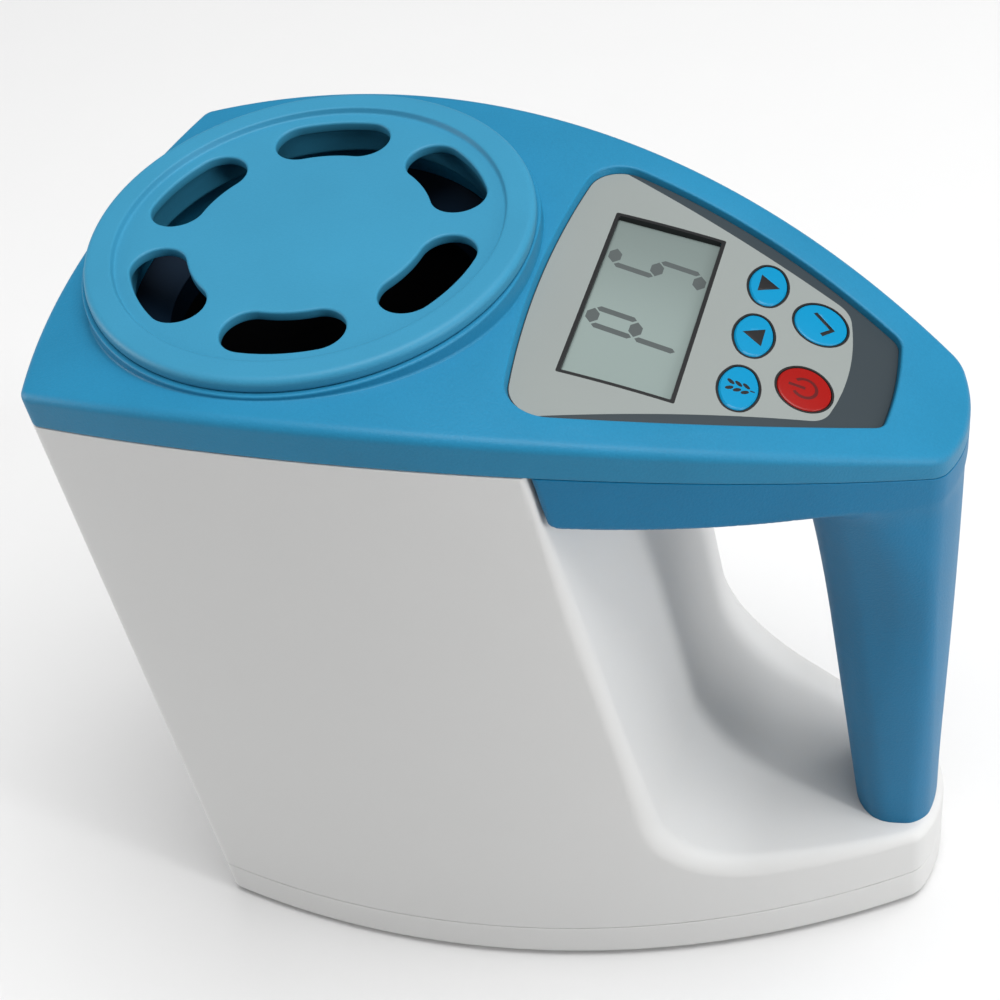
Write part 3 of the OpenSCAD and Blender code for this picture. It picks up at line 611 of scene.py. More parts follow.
def material(name, base, rough=0.4, grain=0.5, height=0.02, vary=0.05, rough_vary=0.06, metal=0.0,
             coat=0.0, coat_rough=0.1, spec=0.5, scuff=0.0, brushed=None):
    """Procedural surface: moulded grain of a size and height in mm, slow patches of tone, roughness that follows both,
    wider scuffs, and a brushed stretch along an axis."""
    m = bpy.data.materials.new(name)
    m.use_nodes = True
    nodes, links = m.node_tree.nodes, m.node_tree.links
    bsdf = nodes["Principled BSDF"]
    co = nodes.new("ShaderNodeTexCoord")
    spot = nodes.new("ShaderNodeMapping")
    links.new(co.outputs["Object"], spot.inputs["Vector"])
    if brushed:
        spot.inputs["Scale"].default_value = brushed

    def noise(size, detail, rough_in=0.5):
        n = nodes.new("ShaderNodeTexNoise")
        n.inputs["Scale"].default_value = 1000.0 / size
        n.inputs["Detail"].default_value = detail
        n.inputs["Roughness"].default_value = rough_in
        links.new(spot.outputs["Vector"], n.inputs["Vector"])
        return n.outputs["Fac"]

    def mul_add(a, k, c):
        n = nodes.new("ShaderNodeMath")
        n.operation = "MULTIPLY_ADD"
        links.new(a, n.inputs[0])
        n.inputs[1].default_value = k
        if isinstance(c, float):
            n.inputs[2].default_value = c
        else:
            links.new(c, n.inputs[2])
        return n.outputs[0]

    fine, slow = noise(grain, 3.0, 0.6), noise(PATCH_MM, 2.0)
    tone = mul_add(slow, vary, mul_add(fine, vary * 0.9, -vary * 0.95))
    mix = nodes.new("ShaderNodeMix")
    mix.data_type = "RGBA"
    mix.blend_type = "MULTIPLY"
    mix.inputs["Factor"].default_value = 1.0
    mix.inputs["A"].default_value = (*base, 1)
    grey = nodes.new("ShaderNodeCombineColor")
    value = mul_add(tone, 1.0, 1.0)
    for c in ("Red", "Green", "Blue"):
        links.new(value, grey.inputs[c])
    links.new(grey.outputs["Color"], mix.inputs["B"])
    links.new(mix.outputs["Result"], bsdf.inputs["Base Color"])
    links.new(mul_add(slow, rough_vary, mul_add(fine, rough_vary, rough - rough_vary)), bsdf.inputs["Roughness"])
    relief = mul_add(noise(grain * 9, 4.0), scuff, fine) if scuff else fine
    bump = nodes.new("ShaderNodeBump")
    bump.inputs["Strength"].default_value = 1.0
    bump.inputs["Distance"].default_value = height * MM
    links.new(relief, bump.inputs["Height"])
    links.new(bump.outputs["Normal"], bsdf.inputs["Normal"])
    for key, value in (("Metallic", metal), ("Specular IOR Level", spec), ("Coat Weight", coat),
                       ("Coat Roughness", coat_rough)):
        bsdf.inputs[key].default_value = value
    return m


WHITE = material("white_shell", lin(207, 207, 206), 0.50, 0.45, 0.006, 0.02, spec=0.4, scuff=0.2)
BLUE = material("blue_cover", lin(34, 118, 155), 0.44, 0.6, 0.08, 0.22, spec=0.18, scuff=0.3)
LID_BLUE = material("blue_lid", lin(52, 130, 163), 0.46, 0.55, 0.045, 0.14, spec=0.2, scuff=0.3)
GRIP_BLUE = material("blue_grip", lin(3, 105, 147), 0.44, 0.6, 0.08, 0.22, spec=0.22, scuff=0.3)
BLACK = material("black_moulding", lin(22, 23, 26), 0.45, 0.5, 0.02, 0.12)
# painted shade: the throat funnel's blue darkened to navy, for the shade deep inside the throat seen through the lid's
# slots
FUNNEL_SHADE = material("funnel_painted_shade", lin(8, 27, 44), 0.60, 0.5, 0.02, 0.12, spec=0.12)
RUBBER = material("rubber_foot", lin(30, 30, 31), 0.75, 0.6, 0.04, 0.15)
FIELD = material("overlay_field", lin(132, 138, 136), 0.5, 0.30, 0.006, 0.03, spec=0.3)
BORDER = material("overlay_border", lin(46, 55, 60), 0.5, 0.30, 0.006, 0.05, spec=0.3)
INK = material("black_ink", lin(12, 13, 15), 0.42, 0.30, 0.004, 0.06)
KEY_BLUE = material("key_cyan", lin(0, 126, 170), 0.36, 0.35, 0.008, 0.05, spec=0.25, coat=0.08, coat_rough=0.25)
KEY_RED = material("key_red", lin(140, 12, 7), 0.36, 0.35, 0.008, 0.05, spec=0.25, coat=0.08, coat_rough=0.25)
SEGMENT = material("lcd_segment", lin(80, 86, 86), 0.25, 0.4, 0.002, 0.04, spec=0.3, coat=0.3, coat_rough=0.08)
STEEL = material("turned_steel", lin(196, 198, 202), 0.30, 0.3, 0.010, 0.06, metal=1.0, brushed=(1, 1, 14))
ALLOY = material("milled_alloy", lin(205, 206, 208), 0.42, 0.4, 0.014, 0.06, metal=1.0, brushed=(10, 1, 1))
BOARD = material("solder_mask", lin(18, 92, 52), 0.30, 0.6, 0.01, 0.10, coat=0.5)
BRASS = material("turned_brass", lin(206, 168, 92), 0.32, 0.3, 0.01, 0.06, metal=1.0, brushed=(1, 1, 14))
CELL = material("cell_sleeve", lin(70, 76, 84), 0.30, 0.5, 0.006, 0.08, metal=0.3, coat=0.5)


def lcd_material():
    """Display glass: a grey-green sheet with painted shade, darker along y (metres) towards the end where the frame's
    shadow falls, under a smooth coat.
    """
    m = material("lcd_glass", lin(128, 141, 138), 0.25, 0.5, 0.001, 0.02, spec=0.3, coat=0.3, coat_rough=0.08)
    nodes, links = m.node_tree.nodes, m.node_tree.links
    bsdf = nodes["Principled BSDF"]
    base = bsdf.inputs["Base Color"].links[0].from_socket
    co = nodes.new("ShaderNodeTexCoord")
    sep = nodes.new("ShaderNodeSeparateXYZ")
    links.new(co.outputs["Object"], sep.inputs["Vector"])
    # painted shade: the sheet's colour scaled from 1 down to 0.72 towards +y, standing in for the frame's shadow
    painted_shade = nodes.new("ShaderNodeMapRange")
    painted_shade.interpolation_type = "SMOOTHSTEP"
    for key, value in (("From Min", -0.010), ("From Max", 0.0275), ("To Min", 1.0), ("To Max", 0.72)):
        painted_shade.inputs[key].default_value = value
    links.new(sep.outputs["Y"], painted_shade.inputs["Value"])
    mul = nodes.new("ShaderNodeVectorMath")
    mul.operation = "SCALE"
    links.new(base, mul.inputs[0])
    links.new(painted_shade.outputs["Result"], mul.inputs["Scale"])
    links.new(mul.outputs["Vector"], bsdf.inputs["Base Color"])
    return m


LCD = lcd_material()
HOUSING = body_of(frame["nodes"]["body_shell"])[0]

# ---------------------------------------------------------------- carried-over CAD nodes
KEEP = (
    (WHITE, "battery_door electrode_insulator"), (RUBBER, "foot_pads cup_gasket"), (FUNNEL_SHADE, "throat_funnel"),
    (BLACK, "cup_tube cup_floor electrode_cap board_chips lcd_holder tact_switches buzzer battery_holder"),
    (STEEL, "outer_electrode centre_electrode temperature_probe load_cell_screws board_screws battery_contacts"),
    (STEEL, "battery_springs cover_screws base_screws grip_screws"), (ALLOY, "cup_bracket load_cell load_cell_riser"),
    (BOARD, "main_board display_board"), (BRASS, "board_spacers"), (CELL, "battery_cells"),
)
for mat, node_names in KEEP:
    for node_name in node_names.split():
        node_mesh = frame["nodes"][node_name].data
        node_mesh.materials.clear()
        node_mesh.materials.append(mat)
        smooth(node_mesh, 28)


# ---------------------------------------------------------------- edges and arches
def rolled_edge(p, u, r, n):
    """Rings of an edge rounded by r from the upright face through p, facing u, over on to the arched top."""
    x = p[:, 0] - CROWN_X
    s = -x / np.sqrt(CROWN_R**2 - x**2) * u[:, 0]
    zc = arch(p[:, 0]) - s * r - r * np.sqrt(1 + s * s)
    end = np.arctan2(1.0, -s)
    out = []
    for i in range(n + 1):
        a = end * i / n
        q = p - u * (r * (1 - np.cos(a)))[:, None]
        out.append(np.column_stack([q, zc + r * np.sin(a)]))
    return out


def laid(p, depth=0.0):
    """Plan points laid on the arch at a depth."""
    return with_z(p, arch(p[:, 0], depth))


class Tilt:
    """Plane tangent to the arched top at x, depth below it: u towards the handle's end, v across, w outwards."""

    def __init__(self, x, y, depth):
        a = math.asin((x - CROWN_X) / CROWN_R)
        self.s, self.c = math.sin(a), math.cos(a)
        r = CROWN_R - depth
        self.o = np.array([CROWN_X + r * self.s, y, CROWN_Z - CROWN_R + r * self.c])

    def out(self, u, v, w=0.0):
        u, v = np.asarray(u, float), np.asarray(v, float)
        w = np.broadcast_to(np.asarray(w, float), u.shape)
        x, y, z = self.o
        return np.column_stack([x + u * self.c + w * self.s, y + v, z - u * self.s + w * self.c])


def oval_arcs(a, b, end_r):
    """Oval with half axes a and b, its long sides and its ends each an arc."""
    fr = (a * a + (b - end_r) ** 2 - end_r**2) / (2 * (a - end_r))
    fc, q = fr - a, b - end_r
    t = math.atan2(q, fc)
    return [
        (-fc, 0, fr, -t, t), (0, q, end_r, t, math.pi - t), (fc, 0, fr, math.pi - t, math.pi + t),
        (0, -q, end_r, math.pi + t, 2 * math.pi - t),
    ]


# each key's middle in plan, and whether it is round
KEYS = {
    "key_down": (KEY_X, KEY_PITCH, False), "key_up": (KEY_X, 0.0, False), "key_mode": (KEY_X, -KEY_PITCH, False),
    "key_ok": (ROUND_X, ROUND_Y, True), "key_power": (ROUND_X, -ROUND_Y, True),
}


def key_loop(is_round):
    return Loop([(0, 0, ROUND_R, 0, 2 * math.pi)] if is_round else oval_arcs(OVAL_A, OVAL_B, OVAL_END_R), 0.45, 6)


def key_plan(name, grow, depth):
    """Plan of a key's outline, widened by grow, at a depth below the arched top."""
    x, y, is_round = KEYS[name]
    t = Tilt(x, y, depth)
    p = key_loop(is_round).at(-grow)
    return t.out(p[:, 0], p[:, 1])[:, :2]


def split(p, step):
    """Closed outline with its long sides divided into equal parts of at least step."""
    out = []
    for i, a in enumerate(p):
        side = p[(i + 1) % len(p)] - a
        n = max(1, int(np.hypot(*side) / step))
        out += [a + side * k / n for k in range(n)]
    return np.array(out)


def box_outline(x0, x1, y0, y1, r):
    """Rectangle with rounded corners."""
    q = math.pi / 2
    mids = [(x1 - r, y1 - r), (x0 + r, y1 - r), (x0 + r, y0 + r), (x1 - r, y0 + r)]
    return split(Loop([(*c, r, k * q, (k + 1) * q) for k, c in enumerate(mids)], 0.2, 3).p, 1.2)


def frame_plan(inset, depth):
    """Plan outline of the display frame drawn inset inside itself, at a depth."""
    x0, x1, y0, y1 = FRAME_BOX
    p = box_outline(x0 - LCD_X + inset, x1 - LCD_X - inset, y0 + inset, y1 - inset, 0.5)
    return Tilt(LCD_X, 0.0, depth).out(p[:, 0], p[:, 1])[:, :2]


# ---------------------------------------------------------------- cover
def make_cover():
    b = Build()
    # rim, as (inwards, above the eave), then up the side and rolled over on to the arch
    under = [(2.4, 0.25), (0.5, 0.25), (0.2, 0.33), (0.04, 0.55), (0.0, 0.8), (0.0, 1.6)]
    rings = [with_z(OUT.at(o), eave(OUT.at(o)[:, 0]) + dz) for o, dz in under]
    edge_r, step = 2.4, 0.8
    edge = rolled_edge(OUT.p, OUT.n, edge_r, 7)
    top_out = edge[-1][:, :2] - OUT.n * step
    outer = b.rings(rings + [edge[0] - (0, 0, step)] + edge + [laid(top_out)])
    # key panel recess, its lip rolled over, its wall leaning in to the floor
    lip_r, lean = 0.6, 0.42
    foot = PANEL.at(lean)
    rec = rolled_edge(PANEL.p, -PANEL.n, lip_r, 5)[::-1] + [laid(foot, RECESS - OVERLAY_T), laid(foot, RECESS)]
    panel = b.rings(rec)
    # collar round the throat, slimmer and with a smaller fillet where it runs beside the panel
    ang = np.arange(160) * 2 * math.pi / 160
    c, s = np.cos(ang), np.sin(ang)

    def round_ring(r, z):
        r = np.broadcast_to(r, ang.shape)
        return np.column_stack([CUP_X + r * c, r * s, np.broadcast_to(z, ang.shape)])

    slim, wide, fillet_r, top_r = 0.75, 0.3, 0.6, 0.5
    beside = np.exp(-((((ang + math.pi) % (2 * math.pi) - math.pi) / wide) ** 2))
    col_r = COLLAR_R - slim * beside
    tall = COLLAR_Z - arch(CUP_X + col_r * c)
    f = np.minimum(fillet_r, 0.3 * tall) * (1 - 0.6 * beside)
    base_r = col_r + f
    zb = arch(CUP_X + base_r * c)
    quarter = [math.pi / 2 * k / 5 for k in range(6)]
    col = [round_ring(base_r - f * math.sin(a), zb + f * (1 - math.cos(a))) for a in quarter]
    col += [round_ring(col_r - top_r * (1 - math.cos(a)), COLLAR_Z - top_r + top_r * math.sin(a)) for a in quarter]
    throat = [(0.9, COLLAR_Z), (0.4, COLLAR_Z), (0.1, COLLAR_Z - 0.12), (0.0, COLLAR_Z - 0.4), (0.0, COLLAR_Z - 2),
              (0.0, NECK_Z), (2.2, NECK_Z)]
    col += [round_ring(THROAT_R + o, z) for o, z in throat]
    collar = b.rings(col)
    # arched top between the three
    top_pan, top_col = rec[0][:, :2], col[0][:, :2]
    b.fill([top_out, top_pan, top_col], on_arch(), 0, 3.5, between(top_out, [top_pan, top_col]),
           [outer[-1], panel[0], collar[0]])
    # recess floor with its openings
    holes = [key_plan(k, 0.25, RECESS) for k in KEYS] + [frame_plan(LINE, RECESS)]
    b.fill([foot] + holes, on_arch(RECESS), 0, 4.0, between(foot, holes), [panel[-1]] + [None] * len(holes))
    ob = b.make("cover_skin", [BLUE], HOUSING, sharp=40)
    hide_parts("top_cover")
    return ob


# ---------------------------------------------------------------- lid
def slot_arcs(turn):
    a = math.radians(SLOT_A)
    c1, c2 = turn + a, turn - a
    e1 = (SLOT_R * math.cos(c1), SLOT_R * math.sin(c1))
    e2 = (SLOT_R * math.cos(c2), SLOT_R * math.sin(c2))
    return [
        (0, 0, SLOT_R + SLOT_W, c2, c1), (*e1, SLOT_W, c1, c1 + math.pi),
        (0, 0, SLOT_R - SLOT_W, c1, c2), (*e2, SLOT_W, c2 + math.pi, c2 + 2 * math.pi),
    ]


def make_lid():
    b = Build()
    n = 192
    top, low = LID_Z - DISC_DROP, LID_Z - DISC_DROP - DISC_T
    floor_z, end, inner = COLLAR_Z + 0.12, LID_Z - SKIRT_DROP, SKIRT_R - SKIRT_T
    flat, rim_r, under_r, tip_r = 1.9, 1.7, 0.5, 0.9
    # profile, as (radius, z): the recess's wall and the flat rim
    prof = [(RECESS_R - flat, top), (RECESS_R - 1.1, top), (RECESS_R - 0.85, top + 0.02), (RECESS_R - 0.6, top + 0.14),
            (RECESS_R - 0.42, top + 0.4), (RECESS_R - 0.2, LID_Z - 0.34), (RECESS_R - 0.04, LID_Z - 0.1),
            (RECESS_R + 0.25, LID_Z), (RECESS_R + 0.9, LID_Z), (RECESS_R + 2.2, LID_Z), (LID_R - rim_r - 0.7, LID_Z)]
    # outer edge, and the underside that lies on the collar
    prof += [(LID_R - rim_r + rim_r * math.sin(t), LID_Z - rim_r + rim_r * math.cos(t))
             for t in np.linspace(0, math.pi / 2, 7)]
    prof += [(LID_R, floor_z + 0.8)]
    prof += [(LID_R - under_r + under_r * math.cos(t), floor_z + under_r - under_r * math.sin(t))
             for t in np.linspace(0.2, math.pi / 2, 4)]
    # skirt down, round its tip and up to the disc
    prof += [(SKIRT_R + 0.9, floor_z), (SKIRT_R + 0.2, floor_z - 0.1), (SKIRT_R, floor_z - 0.5)]
    prof += [(SKIRT_R, end + 1.5), (SKIRT_R, end + tip_r)]
    prof += [(SKIRT_R - tip_r + tip_r * math.cos(t), end + tip_r - tip_r * math.sin(t))
             for t in np.linspace(0.3, math.pi - 0.3, 8)]
    prof += [(inner, end + tip_r), (inner, end + 1.5), (inner, low - 0.7), (inner - 0.12, low - 0.3),
             (inner - 0.32, low - 0.08), (inner - 0.6, low)]
    ids = b.rings([with_z(circle(r, n), z) for r, z in prof][::-1])
    # slots, as (outwards from the outline, z), their upper edge rounded
    edge_r, flare = 0.62, 0.25
    wall = [(edge_r, top)]
    wall += [(edge_r - edge_r * math.sin(t), top - edge_r + edge_r * math.cos(t))
             for t in np.linspace(0.25, math.pi / 2, 5)]
    wall += [(0.0, low + 0.4), (0.08, low + 0.12), (flare, low)]
    slots = [Loop(slot_arcs(math.radians(SLOT_TURN + 60 * k)), 0.7, 8) for k in range(6)]
    walls = [b.rings([with_z(lp.at(-o), z) for o, z in wall]) for lp in slots]
    # disc, its top and then its underside, from the profile's end to the slots' first or last ring
    for r, z, end_ids, grow, k, spacing, under in ((RECESS_R - flat, top, ids[-1], edge_r, 0, 3.0, False),
                                                   (inner - 0.6, low, ids[0], flare, -1, 5.0, True)):
        rim, holes = circle(r, n), [lp.at(-grow) for lp in slots]
        b.fill([rim] + holes, lambda x, y: np.column_stack([x, y, np.full(len(x), z)]), 0, spacing,
               between(rim, holes), [end_ids] + [w[k] for w in walls], flip=under)
    for pts in b.v:
        pts[:, 0] += CUP_X
    ob = b.make("lid_skin", [LID_BLUE], "lid", sharp=40)
    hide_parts("lid")
    return ob


# ---------------------------------------------------------------- printed panel, display and keys
def field_plan():
    """Light field of the overlay: straight sides running in to a curved end."""
    p, q = np.array([20.3, -41.4]), np.array([74.2, -18.6])
    u = (q - p) / np.hypot(*(q - p))
    nrm = np.array([u[1], -u[0]])
    e, big, r, reach = np.array([18.6, 0.0]), 60.0, 6.0, 34
    m = p - nrm * r
    w = m - e
    bq, cq = np.dot(w, u), np.dot(w, w) - (big - r) ** 2
    k = m + u * (-bq + math.sqrt(bq * bq - cq))
    a0, a1 = math.atan2(nrm[1], nrm[0]), math.atan2(k[1], k[0] - e[0])
    near = [p - u * reach] + [k + r * np.array([math.cos(t), math.sin(t)]) for t in np.linspace(a0, a1, 9)]
    near += [e + big * np.array([math.cos(t), math.sin(t)]) for t in np.linspace(a1, 0, 10)[1:]]
    return split(near + [np.array([v[0], -v[1]]) for v in near[-2::-1]], 2.5)


def make_overlay():
    b = Build()
    d, bottom = RECESS - OVERLAY_T, RECESS - OVERLAY_SINK
    edge = [(0.5, bottom), (0.5, d + 0.1), (0.58, d + 0.02), (0.75, d)]  # (inwards, depth)
    rim = b.rings([laid(PANEL.at(o), depth) for o, depth in edge], 1)
    inn = PANEL.at(edge[-1][0])
    holes = [key_plan(k, -0.1, d) for k in KEYS] + [frame_plan(LINE, d)]
    inked = [key_plan(k, 0.4, d) for k in KEYS] + [frame_plan(0.0, d)]
    field = field_plan()
    hole_ids = [b.rings([laid(h, d), laid(h, bottom)], 2)[0] for h in holes]
    slots = lambda x, y: np.where(in_any(inked, x, y), 2, np.where(inside(field, x, y), 0, 1))
    b.fill([inn] + holes + inked + [field], on_arch(d), slots, 4.0, between(inn, holes),
           [rim[-1]] + hole_ids + [None] * (len(inked) + 1))
    ob = b.make("printed_overlay", [FIELD, BORDER, INK], HOUSING, sharp=40)
    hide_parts("panel_overlay")
    return ob


def bar(p, q, w):
    """Six-sided display segment from p to q, w wide."""
    p, q = np.array(p, float), np.array(q, float)
    u = (q - p) / np.hypot(*(q - p))
    n = np.array([-u[1], u[0]]) * w / 2
    c = u * w * 0.5
    return np.array([p, p + c + n, q - c + n, q, q - c - n, p + c - n])


def digit(on, left, bottom, wide, tall, slant):
    """Seven-segment character in reading axes (right, up), short bars broad and long bars thin."""
    sh = lambda x, y: (left + x + y * slant, bottom + y)
    m, g, k = tall / 2, 0.3, 0.35
    ends = {
        "a": ((g, tall), (wide - g, tall)), "b": ((wide, tall - k), (wide, m + k)),
        "c": ((wide, m - k), (wide, k)), "d": ((g, 0), (wide - g, 0)), "e": ((0, m - k), (0, k)),
        "f": ((0, tall - k), (0, m + k)), "g": ((g, m), (wide - g, m)),
    }
    return [bar(sh(*ends[s][0]), sh(*ends[s][1]), 2.9 if s in "adg" else 1.6) for s in on]


def make_display():
    """Display under its window opening: black surround, dark side walls and the sheet with its segments."""
    t = Tilt(LCD_X, 0.0, 0.0)
    b = Build()
    x0, x1, y0, y1 = FRAME_BOX
    hole = box_outline(x0 - LCD_X + LINE, x1 - LCD_X - LINE, y0 + LINE, y1 - LINE, 0.3)
    plate = box_outline(-13.5, 13.5, -27.8, 27.8, 0.4)
    base = box_outline(-15, 15, -30, 30, 0.4)
    sheet_w, rim_w, step_w, floor_w = 3.2, 2.05, 4.9, 7.0
    at = lambda p, w: b.add(t.out(p[:, 0], p[:, 1], -w))
    lift = lambda w: lambda x, y: t.out(x, y, -w)
    # reading axes: right is +Y, up is towards the lid
    marks = digit("abefg", -11.0, -10.2, 5.5, 20.2, 0.09) + digit("afgcd", 9.8, -10.2, 5.5, 20.2, 0.09)
    loops = [np.column_stack([-m[:, 1], m[:, 0]]) for m in marks]
    sheet = at(hole, sheet_w)
    b.fill([hole] + loops, lift(sheet_w), lambda x, y: np.where(in_any(loops, x, y), 1, 0), 4.0,
           lambda x, y: inside(hole, x, y), [sheet] + [None] * len(loops))
    top = at(hole, rim_w)
    b.band(top, sheet, 2)
    rim = at(plate, rim_w)
    b.fill([plate, hole], lift(rim_w), 2, 4.0, between(plate, [hole]), [rim, top])
    low, wide, floor = at(plate, step_w), at(base, step_w), at(base, floor_w)
    b.band(low, rim, 2)
    b.fill([base, plate], lift(step_w), 2, 6.0, between(base, [plate]), [wide, low])
    b.band(floor, wide, 2)
    b.cap(floor, 2, flip=True)
    ob = b.make("display", [LCD, SEGMENT, INK], HOUSING, sharp=30)
    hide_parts("display_window", "lcd_glass")
    return ob


def icon(name):
    """Flat marks on a key, in its own plane; u points to the handle end, v across."""
    if name == "key_down":
        return [np.array([(-2.1, -2.8), (2.7, 0.0), (-2.1, 2.8)])]
    if name == "key_up":
        return [np.array([(2.1, 2.8), (-2.7, 0.0), (2.1, -2.8)])]
    if name == "key_ok":
        a = np.array([(0.2, -2.9), (2.1, -0.9), (-2.3, 2.6), (-1.5, 3.2), (3.4, -0.7), (0.9, -3.6)])
        return [a[::-1]]
    if name == "key_mode":
        # an ear of grain: three pairs of kernels on a short stalk
        kernel, out = circle(1.0, 14) * np.array([1.0, 0.5]), []
        for k in range(3):
            for s in (-1, 1):
                a = s * math.radians(-32)
                u, v = kernel[:, 0], kernel[:, 1]
                out.append(np.column_stack([1.5 - k * 1.75 + u * math.cos(a) - v * math.sin(a),
                                            s * 0.95 + u * math.sin(a) + v * math.cos(a)]))
        out.append(np.array([(3.6, -0.18), (3.6, 0.18), (2.5, 0.18), (2.5, -0.18)]))
        return out
    ring = [(3.1 * math.cos(t), 3.1 * math.sin(t)) for t in np.radians(np.linspace(-142, 142, 33))]
    ring += [(2.3 * math.cos(t), 2.3 * math.sin(t)) for t in np.radians(np.linspace(142, -142, 33))]
    return [np.array(ring), np.array([(-3.7, -0.4), (-3.7, 0.4), (0.1, 0.4), (0.1, -0.4)])[::-1]]


def make_key(name):
    x, y, is_round = KEYS[name]
    power = name == "key_power"
    t = Tilt(x, y, RECESS - OVERLAY_T)
    lp = key_loop(is_round)
    b = Build()
    top, r, dome_h, foot_w, inset = 0.12, 0.35, 0.22, -2.6, 0.6
    reach, squeeze = (ROUND_R, 1.0) if is_round else (OVAL_B, 0.75)

    def dome(u, v):
        return top + dome_h * np.clip(1 - (np.hypot(u, v * squeeze) / (reach - r)) ** 2, 0, 1)

    def ring(o, w=None):
        q = lp.at(o)
        return t.out(q[:, 0], q[:, 1], dome(q[:, 0], q[:, 1]) if w is None else w)

    # (inwards, outwards from the panel): the foot fills its hole, the cap stands KEY_SEAM inside it
    prof = [(0.0, foot_w), (0.0, -0.9), (KEY_SEAM, -0.6), (KEY_SEAM, top - r)]
    prof += [(KEY_SEAM + r - r * math.cos(a), top - r + r * math.sin(a)) for a in np.linspace(0.2, 1.3, 5)]
    got = b.rings([ring(o, w) for o, w in prof] + [ring(r + KEY_SEAM), ring(r + inset)])
    b.cap(got[0], 0, flip=True)
    marks, edge = icon(name), lp.at(r + inset)
    b.fill([edge] + marks, lambda u, v: t.out(u, v, dome(u, v)), lambda u, v: np.where(in_any(marks, u, v), 1, 0), 0.8,
           lambda u, v: inside(edge, u, v), [got[-1]] + [None] * len(marks))
    mark = material("power_mark", lin(84, 10, 12), 0.34, 0.3, 0.004, 0.06) if power else INK
    ob = b.make(name + "_cap", [KEY_RED if power else KEY_BLUE, mark], name, sharp=50)
    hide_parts(name)
    return ob


# ---------------------------------------------------------------- body, grip and base tray
def make_body():
    # cut a little above the tray's seam and a little under the eave, for a shadow line at each
    seam, under = 0.55, 0.3
    levels = [lambda p: p[:, 2] - (SEAM_Z + seam), lambda p: eave(p[:, 0]) - under - p[:, 2]]
    ob = skin("body_skin", d_body, (-107, -62, 12), (107, 62, 202), 1.25, levels, [WHITE], HOUSING, (LIP, LIP))
    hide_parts("body_shell")
    return ob


def make_grip():
    # cut just under the eave, and just inside the shelf that the column stands on
    under, sink = 0.05, 0.6
    foot = lambda p: p[:, 2] - (SHELF_POINT[1] - (p[:, 0] - SHELF_POINT[0]) * math.tan(SHELF_FALL) - sink)
    levels = [lambda p: eave(p[:, 0]) - under - p[:, 2], foot]
    ob = skin("grip_skin", d_grip, (8, -61, 28), (107, 61, 202), 1.0, levels, [GRIP_BLUE], HOUSING, (LIP_FINE, None))
    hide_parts("grip")
    return ob


def cutter(loop, z0, z1):
    """Closed upright prism on a plan outline."""
    b = Build()
    a, c = b.rings([with_z(loop, z0), with_z(loop, z1)])
    b.cap(a, flip=True)
    b.cap(c)
    return place("cutter", new_mesh("cutter", np.concatenate(b.v), b.f))


def corner_middles(node_name):
    """Plan middle of a CAD node's points in each quarter of the plan."""
    co = np.array([v.co for v in frame["nodes"][node_name].data.vertices]) / MM
    for sx in (-1, 1):
        for sy in (-1, 1):
            pick = co[(co[:, 0] * sx > 0) & (co[:, 1] * sy > 0)]
            mid = (pick.min(0) + pick.max(0)) / 2
            yield mid[0], mid[1]


def carve(ob, cutters):
    """Cuts the closed cutters out of ob and applies the result."""
    for c in cutters:
        mod = ob.modifiers.new("cut", "BOOLEAN")
        mod.operation, mod.solver, mod.object = "DIFFERENCE", "EXACT", c
    dg = bpy.context.evaluated_depsgraph_get()
    made = bpy.data.meshes.new_from_object(ob.evaluated_get(dg))
    ob.modifiers.clear()
    ob.data = made
    for c in cutters:
        bpy.data.objects.remove(c)
    smooth(made, 35)


def make_tray():
    b = Build()
    z = TRAY_Z
    # (inwards, z): sole, step, side and seam, then the floor inside
    prof = [(1.7, z), (1.3, z + 0.1), (1.0, z + 0.35), (0.95, z + 0.7), (0.95, z + 1.3), (0.55, z + 1.5),
            (0.15, z + 1.75), (0.0, z + 2.1), (0.0, z + 3.0), (0.0, SEAM_Z - 0.9), (0.0, SEAM_Z - 0.35),
            (0.1, SEAM_Z - 0.12), (0.35, SEAM_Z), (2.6, SEAM_Z), (2.6, 3.8)]
    ids = b.rings([with_z(OUT.at(o), h) for o, h in prof])
    b.cap(ids[0], flip=True)
    b.cap(ids[-1])
    ob = b.make("tray_skin", [WHITE], HOUSING)
    # the door's opening, the grooves it slides in and the battery well, then the feet's and the screws' holes
    sq = lambda x0, x1, y0, y1: np.array([(x0, y0), (x1, y0), (x1, y1), (x0, y1)], float)
    lo, hi = (np.array(v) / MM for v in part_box("battery_door"))
    play, foot_r, screw_r = 0.3, 6.1, 3.5
    cuts = [cutter(sq(lo[0] + 0.9, hi[0] - 0.9, lo[1] - play, 80), -2, hi[2] + play),
            cutter(sq(lo[0] - play, hi[0] + play, lo[1] - play, 81), lo[2] + play, lo[2] + 1.7),
            cutter(sq(lo[0] + 1.2, hi[0] - 1.2, lo[1], 51), -3, 7)]
    cuts += [cutter(circle(foot_r, 48, *mid), -1, 2.0) for mid in corner_middles("foot_pads")]
    cuts += [cutter(circle(screw_r, 32, *mid), -1, 6) for mid in corner_middles("base_screws")]
    carve(ob, cuts)
    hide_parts("base_tray")
    return ob


make_cover()
make_lid()
make_overlay()
make_display()
for key_name in KEYS:
    make_key(key_name)
make_tray()
make_body()
make_grip()


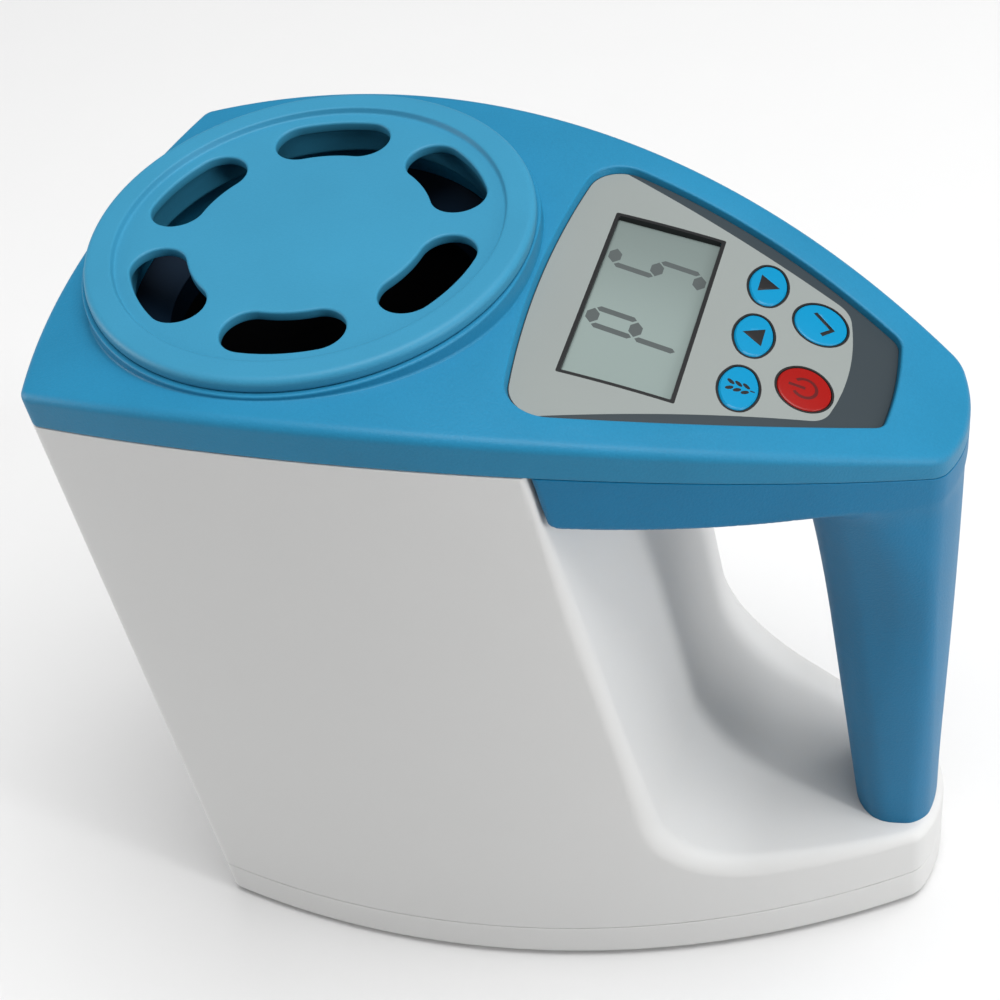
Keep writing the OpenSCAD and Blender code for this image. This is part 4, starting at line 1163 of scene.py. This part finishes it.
# ---------------------------------------------------------------- floor, light and camera (light and camera in m)
FLOOR_HALF, FLOOR_GREY = 6000.0, (0.70, 0.70, 0.70)
LIGHT_AIM, WORLD_LEVEL = Vector((0, 0, 0.1)), 0.17
CAM_AT, CAM_LENS, CAM_SENSOR = (0.12440, -0.29622, 0.46115), 65.29, 36.0
AZ, EL, ROLL = (math.radians(v) for v in (24.4547, 45.6082, -11.0292))


def make_floor():
    r = FLOOR_HALF
    me = new_mesh("floor", [(-r, -r, 0), (r, -r, 0), (r, r, 0), (-r, r, 0)], [(0, 1, 2, 3)])
    me.materials.append(material("floor_card", FLOOR_GREY, 0.8, 3.0, 0.02, 0.01))
    ob = place("floor", me)


def area(name, at, wide, tall, watts):
    """Rectangular light that faces the object."""
    light = bpy.data.lights.new(name, "AREA")
    light.shape = "RECTANGLE"
    light.size, light.size_y = wide, tall
    light.energy = watts
    ob = place(name, light)
    ob.location = at
    ob.rotation_mode = "QUATERNION"
    ob.rotation_quaternion = (LIGHT_AIM - Vector(at)).to_track_quat("-Z", "Y")


make_floor()
area("key_right", (1.15, -0.30, 0.40), 0.14, 0.6, 5.0)
area("top_soft", (0.4, 0.08, 2.2), 1.6, 1.6, 58)
area("shelf_fill", (1.3, -0.05, 0.95), 0.9, 0.9, 4.8)
area("front_left", (-1.9, -0.45, 0.5), 1.0, 1.0, 19.0)
world = bpy.data.worlds.new("studio")
world.use_nodes = True
world.node_tree.nodes["Background"].inputs["Color"].default_value = (1, 1, 1, 1)
world.node_tree.nodes["Background"].inputs["Strength"].default_value = WORLD_LEVEL
bpy.context.scene.world = world

# camera fitted to the photograph: azimuth, elevation and roll give its axes
look = Vector((-math.sin(AZ) * math.cos(EL), math.cos(AZ) * math.cos(EL), -math.sin(EL)))
right = Vector((math.cos(AZ), math.sin(AZ), 0))
up = right.cross(look)
right, up = right * math.cos(ROLL) + up * math.sin(ROLL), up * math.cos(ROLL) - right * math.sin(ROLL)
cam_data = bpy.data.cameras.new("camera")
cam_data.sensor_width, cam_data.lens = CAM_SENSOR, CAM_LENS
cam_data.clip_start, cam_data.clip_end = 0.01, 50
camera = place("camera", cam_data)
turn = Matrix((right, up, -look)).transposed()
camera.matrix_world = Matrix.Translation(CAM_AT) @ turn.to_4x4()
bpy.context.scene.camera = camera
bpy.context.scene.view_settings.view_transform = "Standard"
bpy.context.scene.view_settings.look = "None"
